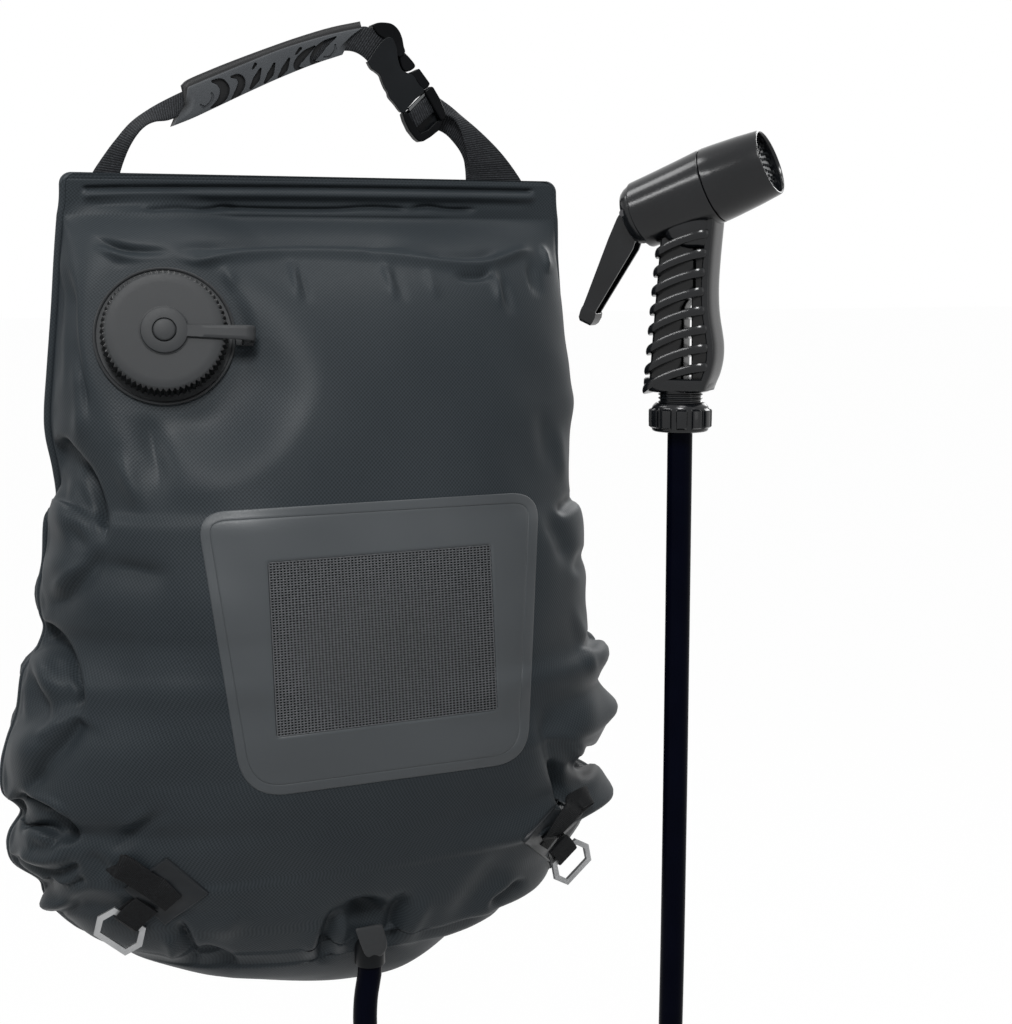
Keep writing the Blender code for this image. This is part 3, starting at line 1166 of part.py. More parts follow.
turned("valve_seal", [(STEM_RADIUS + FIT_GAP, seal_low), (SEAL_RADIUS, seal_low),
                      (SEAL_RADIUS, seal_low + PLATE_THICK), (STEM_RADIUS + FIT_GAP, seal_low + PLATE_THICK)],
       "seal_rubber", 24, barrel_frame)

# Lever in the handset frame: pivot pin at the rear of the barrel
pivot = barrel_at - barrel_dir * PIVOT_BACK + Vector((-math.sin(lean_up), 0, math.cos(lean_up))) * PIVOT_UP
lever_frame = empty("lever_frame", hand, pivot, (0, math.radians(LEVER_LEAN), 0))
head = LEVER_DEPTH * 0.42
lever_outline = [(-head * 0.7, head), (head * 0.7, head), (head, head * 0.4), (head, -LEVER_DEPTH),
                 (head - (LEVER_DEPTH - LEVER_TIP_DEPTH), -LEVER_LENGTH * 0.86),
                 (head * 0.72, -LEVER_LENGTH * 0.88), (head * 0.62, -LEVER_LENGTH),
                 (-head * 1.0, -LEVER_LENGTH), (-head * 1.3, -LEVER_LENGTH * 0.92),
                 (-head * 1.15, -LEVER_LENGTH * 0.5), (-head, -LEVER_DEPTH)]
lever = extruded("trigger_lever", lever_outline, -LEVER_WIDTH / 2, LEVER_WIDTH / 2, "black_plastic",
                 lever_frame)
carve(lever, block("lever_channel", (-head * 0.25, -LEVER_WIDTH / 2 + LEVER_WALL, -LEVER_LENGTH * 0.84),
                   (head + CUT_OVERRUN, LEVER_WIDTH / 2 - LEVER_WALL, -LEVER_DEPTH * 1.6),
                   parent=lever_frame))
pin_tool = turned("pin_bore", [(0, -LEVER_WIDTH), (PIN_RADIUS + FIT_GAP, -LEVER_WIDTH),
                               (PIN_RADIUS + FIT_GAP, LEVER_WIDTH), (0, LEVER_WIDTH)],
                  "black_plastic", 20, lever_frame)
pin_tool.rotation_euler = (math.pi / 2, 0, 0)
carve(lever, pin_tool)
pin_half = BARREL_REAR_RADIUS * 0.86
pin = turned("lever_pin", [(0, -pin_half), (PIN_RADIUS, -pin_half), (PIN_RADIUS, pin_half), (0, pin_half)],
             "pin_steel", 20, hand, pivot)
pin.rotation_euler = (math.pi / 2, 0, 0)
barrel_pin = turned("barrel_pin_bore", [(0, -pin_half - FIT_GAP), (PIN_RADIUS + FIT_GAP, -pin_half - FIT_GAP),
                                        (PIN_RADIUS + FIT_GAP, pin_half + FIT_GAP), (0, pin_half + FIT_GAP)],
                    "black_plastic", 20, hand, pivot)
barrel_pin.rotation_euler = (math.pi / 2, 0, 0)
carve(barrel, barrel_pin)
slot_half = LEVER_WIDTH / 2 + FIT_GAP * 2
lever_slot = block("lever_slot", (-BARREL_REAR_RADIUS * 1.6, -slot_half, -BARREL_RADIUS * 1.6),
                   (LEVER_DEPTH * 1.35, slot_half, head * 1.5), parent=lever_frame)
carve(barrel, lever_slot)

# Grip of the handset: neck, foot, posts, front spine and slanted fins as one moulding
body_high = GRIP_FOOT + BODY_HEIGHT
fin_pitch = BODY_HEIGHT / FIN_COUNT
spine = extruded("handset_grip", [(FIN_LENGTH * 0.16, GRIP_FOOT), (FIN_LENGTH * 0.42, GRIP_FOOT),
                                  (FIN_LENGTH * 0.50, GRIP_FOOT + BODY_HEIGHT * 0.14),
                                  (FIN_LENGTH * 0.53, GRIP_FOOT + BODY_HEIGHT * 0.26),
                                  (FIN_LENGTH * 0.455, GRIP_FOOT + BODY_HEIGHT * 0.48),
                                  (FIN_LENGTH * 0.44, GRIP_FOOT + BODY_HEIGHT * 0.72),
                                  (FIN_LENGTH * 0.50, body_high + BODY_HEIGHT * 0.12),
                                  (FIN_LENGTH * 0.20, body_high + BODY_HEIGHT * 0.12)],
                 -FIN_HALF_WIDTH * 0.72, FIN_HALF_WIDTH * 0.72, "black_plastic", hand)
post_half = FIN_HALF_WIDTH * 0.56
rear_post = extruded("rear_post", [(-FIN_LENGTH * 0.43, GRIP_FOOT + fin_pitch * 0.2),
                                   (FIN_LENGTH * 0.02, GRIP_FOOT + fin_pitch * 0.2),
                                   (FIN_LENGTH * 0.06, body_high + BODY_HEIGHT * 0.12),
                                   (-FIN_LENGTH * 0.30, body_high + BODY_HEIGHT * 0.12)],
                     -post_half, post_half, "black_plastic", hand)
carve(spine, rear_post, "UNION")
foot = turned("grip_foot", [(neck_bore, neck_low), (NECK_OUTER, neck_low),
                            (NECK_OUTER, GRIP_FOOT - FIN_THICK / 2),
                            (NECK_OUTER * 1.12, GRIP_FOOT - FIN_THICK / 2),
                            (NECK_OUTER * 1.2, GRIP_FOOT + FIN_THICK / 2),
                            (neck_bore, GRIP_FOOT + FIN_THICK)], "black_plastic", 32, hand)
carve(spine, foot, "UNION")
fin_verts, fin_faces = [], []
slope = math.tan(math.radians(FIN_SLOPE))
FIN_SIDES = 20
for number in range(FIN_COUNT):
    base_z = GRIP_FOOT + fin_pitch * (0.55 + number)
    part = number / (FIN_COUNT - 1)
    half_long = FIN_LENGTH / 2 * (0.94 - 0.08 * part)
    centre_x = FIN_LENGTH * (0.0 + 0.08 * part)
    start = len(fin_verts)
    for lift in (0, FIN_THICK):
        for k in range(FIN_SIDES):
            a = 2 * math.pi * k / FIN_SIDES
            x = half_long * math.copysign(abs(math.cos(a)) ** 0.8, math.cos(a))
            y = FIN_HALF_WIDTH * math.copysign(abs(math.sin(a)) ** 0.8, math.sin(a))
            fin_verts.append((centre_x + x, y, base_z + lift + x * slope))
    fin_faces += [tuple(start + k for k in range(FIN_SIDES - 1, -1, -1)),
                  tuple(start + FIN_SIDES + k for k in range(FIN_SIDES))]
    fin_faces += [(start + k, start + (k + 1) % FIN_SIDES, start + FIN_SIDES + (k + 1) % FIN_SIDES,
                   start + FIN_SIDES + k) for k in range(FIN_SIDES)]
fins = solid("grip_fins", fin_verts, fin_faces, "black_plastic", hand)
carve(spine, fins, "UNION")
barrel_form = turned("barrel_form", barrel_outer(FIT_GAP) + [
    (BARREL_RADIUS + FIT_GAP, BARREL_LENGTH + SLEEVE_LENGTH), (0, BARREL_LENGTH + SLEEVE_LENGTH)],
                     "black_plastic", 36, barrel_frame)
carve(spine, barrel_form)

# The hose: down from the outlet, round below the bag and up to the union nut
hand_at = Vector(HANDSET_AT)
HOSE_FALL = [(0, 0, -0.0095), (-0.0032, 0, -0.0295), (-0.0036, 0, -0.0515), (0, 0, -0.0895),
             (0.002, -0.003, -0.1595), (0.005, -0.008, -0.2395), (0.012, -0.014, -0.3095),
             (0.028, -0.021, -0.3715), (0.058, -0.029, -0.4145), (0.096, -0.038, -0.4315)]
HOSE_CLIMB = [(-0.0542, 0.0253, -0.7671), (-0.0262, 0.0173, -0.7311), (-0.0102, 0.0113, -0.6731),
              (-0.0032, 0.0063, -0.5921), (-0.0012, 0.0033, -0.4971), (-0.0002, 0.0013, -0.3821),
              (0, 0.0003, -0.2571), (0, 0, -0.1371), (0, 0, -0.0371)]
route = [outlet_at] + [outlet_at + Vector(p) for p in HOSE_FALL] + [hand_at + Vector(p) for p in HOSE_CLIMB]
route.append(hand_at)
hose_points = smooth_path(route, 46)
straight_start = hose_points[0] - np.array([0.0, 0.0, hose_radius])
hose_points = np.vstack([hose_points[:1], straight_start, hose_points[1:]])
tube("shower_hose", hose_points, hose_radius, 2, "hose_rubber", bag)
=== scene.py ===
import math

import bmesh
import bpy
import numpy as np
from mathutils import Matrix, Vector


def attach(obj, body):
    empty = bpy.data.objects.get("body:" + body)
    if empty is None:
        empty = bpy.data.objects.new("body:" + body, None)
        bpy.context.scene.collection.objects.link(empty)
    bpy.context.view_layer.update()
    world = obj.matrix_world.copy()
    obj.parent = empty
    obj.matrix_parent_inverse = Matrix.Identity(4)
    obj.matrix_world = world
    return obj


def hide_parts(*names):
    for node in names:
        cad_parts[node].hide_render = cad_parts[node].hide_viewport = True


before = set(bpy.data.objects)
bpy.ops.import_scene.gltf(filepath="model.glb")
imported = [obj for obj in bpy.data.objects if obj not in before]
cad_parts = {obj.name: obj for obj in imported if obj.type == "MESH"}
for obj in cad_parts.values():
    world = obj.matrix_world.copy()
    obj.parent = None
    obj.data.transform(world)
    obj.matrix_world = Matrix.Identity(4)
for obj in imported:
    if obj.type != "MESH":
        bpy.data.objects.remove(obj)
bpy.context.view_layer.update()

# Camera
# It stands to the left of the bag and a little above its middle, looking slightly down.
# Later sections use the same sight lines to place folds where the photograph shows them.
HEM_TOP = -0.071
FOCAL_PX = 1800.0
YAW, PITCH, DISTANCE = math.radians(23.8), math.radians(7.9), 1.281
AIM = np.array([0.133, 0.0, HEM_TOP - 0.232])
TO_CAMERA = np.array([-math.sin(YAW) * math.cos(PITCH), -math.cos(YAW) * math.cos(PITCH), math.sin(PITCH)])
SIDEWAYS = np.array([math.cos(YAW), -math.sin(YAW), 0.0])
UPWARDS = np.cross(TO_CAMERA, SIDEWAYS)
EYE = AIM + TO_CAMERA * DISTANCE


def pixels(points):
    """Pixel of each point: its offsets from the eye over its depth, times the focal length."""
    away = points - EYE
    depth = -(away @ TO_CAMERA)
    return 506 + FOCAL_PX * (away @ SIDEWAYS) / depth, 512 - FOCAL_PX * (away @ UPWARDS) / depth


def on_plane(px, py, plane_y=0.0):
    """Point where the sight line of a pixel meets the plane y = plane_y."""
    ray = (np.multiply.outer((np.asarray(px, float) - 506) / FOCAL_PX, SIDEWAYS)
           + np.multiply.outer((512 - np.asarray(py, float)) / FOCAL_PX, UPWARDS) - TO_CAMERA)
    reach = (plane_y - EYE[1]) / ray[..., 1]
    return EYE + ray * reach[..., None]


def link_new(name, data):
    """Object of the given data, linked into the scene."""
    made = bpy.data.objects.new(name, data)
    bpy.context.scene.collection.objects.link(made)
    return made


camera_data = bpy.data.cameras.new("photo_camera")
camera_data.lens = 36.0 * FOCAL_PX / 1024
camera_data.sensor_width = 36.0
camera = link_new("photo_camera", camera_data)
turn = Matrix((SIDEWAYS, UPWARDS, TO_CAMERA)).transposed().to_4x4()
camera.matrix_world = Matrix.Translation(Vector(EYE)) @ turn
bpy.context.scene.camera = camera

# Shower hose
# A 16 mm glossy rubber hose. It leaves the outlet under the bag, hangs in one long loop and
# runs up into the handset's union nut.
HOSE_ROUTE = np.array([
    (-2, -83, -510.5), (-2, -83, -518.5), (-2.4, -83, -523), (-5.2, -83, -540), (-5.6, -83, -562),
    (-2, -83, -600), (0, -86, -670), (3, -91, -750), (10, -97, -820), (26, -104, -882), (56, -112, -925),
    (94, -121, -942), (132, -130, -930), (160, -138, -894), (176, -144, -836), (183, -149, -755),
    (185, -152, -660), (186, -154, -545), (186.2, -155, -420), (186.2, -155.3, -300), (186.2, -155.3, -200),
    (186.2, -155.3, -162.9)]) / 1000 + (0, 0, HEM_TOP)


def walked(points):
    """Length walked along a line of points, from 0 at its first."""
    return np.concatenate([[0], np.cumsum(np.linalg.norm(np.diff(points, axis=0), axis=1))])


def evenly(line, count, endpoint=True):
    """The given count of points at even lengths along a line."""
    run = walked(line)
    even = np.linspace(0, run[-1], count, endpoint=endpoint)
    return np.stack([np.interp(even, run, line[:, k]) for k in range(line.shape[1])], axis=1)


def through(points, count):
    """Catmull-Rom curve through the points, read at evenly spaced lengths along it."""
    ends = np.vstack([2 * points[:1] - points[1:2], points, 2 * points[-1:] - points[-2:-1]])
    t = np.linspace(0, 1, 24, endpoint=False)[None, :, None]
    p0, p1, p2, p3 = (ends[k:len(ends) - 3 + k][:, None, :] for k in range(4))
    fine = 0.5 * (2 * p1 + (p2 - p0) * t + (2 * p0 - 5 * p1 + 4 * p2 - p3) * t ** 2
                  + (3 * p1 - p0 - 3 * p2 + p3) * t ** 3)
    return evenly(np.vstack([fine.reshape(-1, points.shape[1]), points[-1:]]), count)


HOSE_DIAMETER = 0.016
hose_line = through(HOSE_ROUTE, 220)
hose_curve = bpy.data.curves.new("hose", "CURVE")
hose_curve.dimensions = "3D"
hose_curve.bevel_depth = HOSE_DIAMETER / 2
hose_curve.bevel_resolution = 10
hose_curve.use_fill_caps = True
spline = hose_curve.splines.new("POLY")
spline.points.add(len(hose_line) - 1)
spline.points.foreach_set("co", np.hstack([hose_line, np.ones((len(hose_line), 1))]).ravel())
hose = link_new("hose", hose_curve)


def feed(tree, target, values):
    """Sets the inputs of a node by name or number. A value that is a socket is linked."""
    for key, value in values.items():
        if isinstance(value, bpy.types.NodeSocket):
            tree.links.new(value, target.inputs[key])
        else:
            target.inputs[key].default_value = value


def add_node(tree, kind, values=None, **settings):
    """Shader node of a kind, with its properties and then its inputs set."""
    made = tree.nodes.new("ShaderNode" + kind)
    for key, value in settings.items():
        setattr(made, key, value)
    feed(tree, made, values or {})
    return made


def blend(tree, factor, first, second, mode="MIX"):
    """Colour between two colours or sockets."""
    values = {"A": first, "B": second, "Factor": factor}
    return add_node(tree, "Mix", values, data_type="RGBA", blend_type=mode).outputs["Result"]


def start_finish(name):
    """A node material with its tree, its Principled shader and its texture coordinates."""
    made = bpy.data.materials.new(name)
    made.use_nodes = True
    tree = made.node_tree
    return made, tree, tree.nodes["Principled BSDF"], add_node(tree, "TexCoord")


def start_group(name, values, outputs):
    """Node group with a vector input, a number input for each value, and its number outputs."""
    group = bpy.data.node_groups.new(name, "ShaderNodeTree")
    group.interface.new_socket("Vector", in_out="INPUT", socket_type="NodeSocketVector")
    for label, value in values.items():
        group.interface.new_socket(label, in_out="INPUT", socket_type="NodeSocketFloat").default_value = value
    for label in outputs:
        group.interface.new_socket(label, in_out="OUTPUT", socket_type="NodeSocketFloat")
    return group, group.nodes.new("NodeGroupInput"), group.nodes.new("NodeGroupOutput")


def mottle_group():
    """Node group: soft noise read twice, as a slow mask and a fine grain, each from 0 to 1."""
    scales = {"Slow Scale": 12.0, "Fine Scale": 900.0}
    group, way_in, way_out = start_group("surface_mottle", scales, ("Patch", "Grain"))
    for source, target, detail in (("Slow Scale", "Patch", 3.0), ("Fine Scale", "Grain", 2.0)):
        noise = add_node(group, "TexNoise", {"Detail": detail, "Vector": way_in.outputs["Vector"],
                                             "Scale": way_in.outputs[source]})
        spread = add_node(group, "MapRange", {"From Min": 0.30, "From Max": 0.70,
                                              "Value": noise.outputs["Fac"]})
        group.links.new(spread.outputs["Result"], way_out.inputs[target])
    return group


MOTTLE = mottle_group()


def mottled(tree, where, slow, fine):
    """Outputs of the mottle group, read in the object's own space."""
    values = {"Slow Scale": slow, "Fine Scale": fine, "Vector": where.outputs["Object"]}
    return add_node(tree, "Group", values, node_tree=MOTTLE).outputs


def spread_over(tree, value, low, high):
    """A value from 0 to 1 carried to the range from low to high."""
    return add_node(tree, "MapRange", {"To Min": low, "To Max": high, "Value": value}).outputs["Result"]


def moulded(name, dark, light, roughness, spread, bump, slow=14.0, fine=1400.0, metallic=0.0, gloss=0.22):
    """Moulded or rubbed finish: two near colours mixed by slow patches, roughness that drifts with a fine
    grain, and the same grain in the bump."""
    made, tree, shader, where = start_finish(name)
    mottle = mottled(tree, where, slow, fine)
    relief = add_node(tree, "Bump", {"Strength": 1.0, "Distance": bump, "Height": mottle["Grain"]})
    rough = spread_over(tree, mottle["Grain"], roughness - spread, roughness + spread)
    tint = blend(tree, mottle["Patch"], (*dark, 1), (*light, 1))
    feed(tree, shader, {"Base Color": tint, "Roughness": rough, "Normal": relief.outputs["Normal"],
                        "Metallic": metallic, "Specular IOR Level": gloss})
    return made


def dress(made, finish, body, slot, *nodes):
    """Gives a piece its material, its body and the CAD nodes that it replaces. The slot argument is not used.
    """
    made.data.materials.append(finish)
    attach(made, body)
    if nodes:
        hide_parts(*nodes)


HOSE_BLACK = moulded("hose_black", (0.0004, 0.0007, 0.0030), (0.0008, 0.0012, 0.0044), 0.30, 0.05, 0.00002,
                     slow=30.0, gloss=0.02)
dress(hose, HOSE_BLACK, "root", "hose_rubber", "shower_hose")

# Bag front
# Coated polyester, dark blue-grey, swollen by the water inside and gathered along its welded
# edges. It is one sheet from the hem to the foot, with every fold pressed into the same surface.
LEFT_EDGE = [
    (59.5, 180), (56.8, 215), (54, 255), (51, 310), (46.8, 370), (44.2, 410), (45.5, 436), (52.8, 469.9),
    (55.7, 500.2), (44.1, 517.5), (41.7, 559.8), (36.4, 589), (38.7, 612.2), (43, 628), (34.5, 650.8),
    (21.2, 671.3), (15.8, 708.7), (5.8, 739.7), (0.2, 765), (1.6, 791.8), (16, 804.4), (20, 812), (9, 830),
    (6.5, 846.4), (13.4, 863.4), (38, 879), (42.4, 890.6), (49.6, 903.8), (75.2, 925.6), (110, 936),
    (133, 947), (166, 956), (200, 960), (234, 964), (280, 967), (310, 966.8), (330, 966), (346, 964.6)]
RIGHT_EDGE = [
    (555.1, 185), (559.2, 219.7), (562.2, 269.7), (566.8, 336.6), (569.6, 376.9), (570.2, 403),
    (564.5, 442.8), (562.9, 482.5), (573.3, 503.4), (574.1, 540.5), (575.4, 580.5), (576.6, 619.5),
    (597, 637.1), (584.1, 665.2), (608.1, 690.1), (599.2, 703.5), (587.2, 724.2), (572.7, 753.3),
    (606.4, 775.8), (591.3, 785.9), (574.1, 792.2), (552.2, 825), (540.4, 861), (513.8, 869.2),
    (502.4, 883.7), (486.8, 889.8), (462.3, 895.3), (432.8, 928.5), (398, 949), (371, 957.5), (356, 961.8),
    (346, 964.6)]
RIM_TOP, RIM_FOOT = 0.0036, 0.0010
CORNER_ROUND = 0.0075
RIGHT_BULGE = 0.0030
FRONT_DEPTH, BACK_DEPTH = 0.122, 0.058
HEM_HEIGHT, BAG_HEIGHT = 0.026, 0.515
CAP_AT = np.array([-0.1205, -0.0500, -0.1015])
CAP_SLOPES = np.array([0.236, -0.2755])
CAP_FLAT, CAP_FADE = 0.0480, 0.0960
RIM_FROM, RIM_RUN = 0.17, 0.12
FULLEST, RISE_POWER, FALL_POWER = 0.588, 0.6, 0.42
SECTION_POWER, HEM_EASE, LEAST_OUT = 2.4, 0.022, 0.0028
LOW_FROM = 0.42


def edge_line(table, shift):
    """Welded edge in the seam plane: the photographed outline, joined by a smooth curve. Columns are x and
    height below the hem's top."""
    spot = on_plane([p[0] for p in table], [p[1] for p in table])
    line = through(spot[:, [0, 2]], 900)
    line[:, 1] -= HEM_TOP
    line[:, 0] += shift * np.clip(-line[:, 1] / 0.05, 0, 1)
    return line


left_line = edge_line(LEFT_EDGE, 0.0)
right_line = edge_line(RIGHT_EDGE, -RIGHT_BULGE)
FOOT = min(left_line[-1, 1], right_line[-1, 1])
HEM_LEFT, HEM_RIGHT = -0.173, 0.171


def edge_x(line, z, hem_x):
    """X of an edge at each height: straight within the hem, with its top corner rounded."""
    order = np.argsort(-line[:, 1], kind="stable")
    x = np.interp(-z, -line[order, 1], line[order, 0])
    share = np.clip(-z / HEM_HEIGHT, 0, 1) ** 2
    over = np.clip(CORNER_ROUND + z, 0, CORNER_ROUND)
    inset = CORNER_ROUND - np.sqrt(CORNER_ROUND ** 2 - over ** 2)
    return hem_x * (1 - share) + x * share - math.copysign(1.0, hem_x) * inset


def smooth(t):
    """Ease from 0 to 1 with level ends."""
    t = np.clip(t, 0, 1)
    return t * t * (3 - 2 * t)


def crown(t):
    """Share of the full depth at height share t: a power of t over FULLEST times a power of what is left
    over 1 - FULLEST. It is quick to rise under the hem and round at the foot."""
    t = np.clip(t, 0, 1)
    return (t / FULLEST) ** RISE_POWER * ((1 - t) / (1 - FULLEST)) ** FALL_POWER


def bag_grid(q, z, depth, side):
    """Bag sheet before its folds. q runs from -1 to 1 across, read as an angle so that points crowd at the
    edges; z is the height under the hem's top. The section is a lens, the root of 1 - s ** SECTION_POWER
    deep."""
    q, z = np.broadcast_arrays(q, z)
    s = np.sin(q * math.pi / 2)
    rim = RIM_FOOT + (RIM_TOP - RIM_FOOT) * (1 - smooth((-z - RIM_FROM) / RIM_RUN))
    low = edge_x(left_line, z, HEM_LEFT) + rim
    high = edge_x(right_line, z, HEM_RIGHT) - rim
    high = np.maximum(high, low + 1e-4)
    x = (low + high) / 2 + s * (high - low) / 2
    low_share = np.clip((-z - LOW_FROM) / (-FOOT - LOW_FROM), 0, 1)
    t = (-HEM_HEIGHT - z) / BAG_HEIGHT - ((-HEM_HEIGHT - FOOT) / BAG_HEIGHT - 1) * low_share ** 2
    t = np.clip(t, 0, 1)
    lens = np.sqrt(np.clip(1 - np.abs(s) ** SECTION_POWER, 0, 1))
    out = depth * crown(t) * lens * (1 - np.exp(-t / HEM_EASE)) + LEAST_OUT
    if side < 0:
        dx, dz = x - CAP_AT[0], z - CAP_AT[2]
        plane = -CAP_AT[1] + CAP_SLOPES[0] * dx + CAP_SLOPES[1] * dz
        plane = plane * np.sqrt(np.clip(1 - np.abs(s) ** 60, 0, 1))
        near = 1 - smooth((np.hypot(dx, dz) - CAP_FLAT) / (CAP_FADE - CAP_FLAT))
        out = out * (1 - near) + plane * near
    return np.stack([x, side * out, z + HEM_TOP], axis=-1), s


def grid_normals(points, side):
    """Unit normals from the differences along both grid directions."""
    across = np.gradient(points, axis=1)
    down = np.gradient(points, axis=0)
    normal = np.cross(across, down)
    normal /= np.maximum(np.linalg.norm(normal, axis=-1, keepdims=True), 1e-12)
    return np.where((normal[..., 1:2] * side) < 0, -normal, normal)


def from_line(px, py, line):
    """Signed distance in pixels from a smooth line through the given pixels, and the share of its length."""
    line = through(np.array(line, float), 24)
    way = np.diff(line, axis=0)
    length = np.linalg.norm(way, axis=1)
    best = np.full(px.shape, 1e9)
    along = np.zeros(px.shape)
    signed = np.zeros(px.shape)
    for k in range(len(way)):
        dx, dy = px - line[k, 0], py - line[k, 1]
        t = np.clip((dx * way[k, 0] + dy * way[k, 1]) / length[k] ** 2, 0, 1)
        far = np.hypot(dx - t * way[k, 0], dy - t * way[k, 1])
        closer = far < best
        best = np.where(closer, far, best)
        along = np.where(closer, (k + t) / len(way), along)
        signed = np.where(closer, np.sign(way[k, 0] * dy - way[k, 1] * dx) * far, signed)
    return signed, along


def ripple(px, py, line, depth, width, ends):
    """Fold along a line of pixels. Its height is depth times exp of minus the distance over the width, to
    the power 2, or 1.5 for the sharper crease of a fold with two widths. It fades at both ends."""
    signed, along = from_line(px, py, line)
    near, far = width if isinstance(width, tuple) else (width, width)
    first, last = ends if isinstance(ends, tuple) else (ends, ends)
    shift = np.abs(signed) / np.where(signed < 0, near, far)
    body = np.exp(-shift ** (2.0 if near == far else 1.5))
    return depth * body * smooth(along / first) * smooth((1 - along) / last)


def lump(px, py, centre, size, tilt, height):
    """Rounded swelling: an upturned bell over an ellipse of pixels, turned by tilt degrees."""
    c, s = math.cos(math.radians(tilt)), math.sin(math.radians(tilt))
    dx, dy = px - centre[0], py - centre[1]
    a = (dx * c + dy * s) / size[0]
    b = (-dx * s + dy * c) / size[1]
    return height * np.exp(-(a * a + b * b))


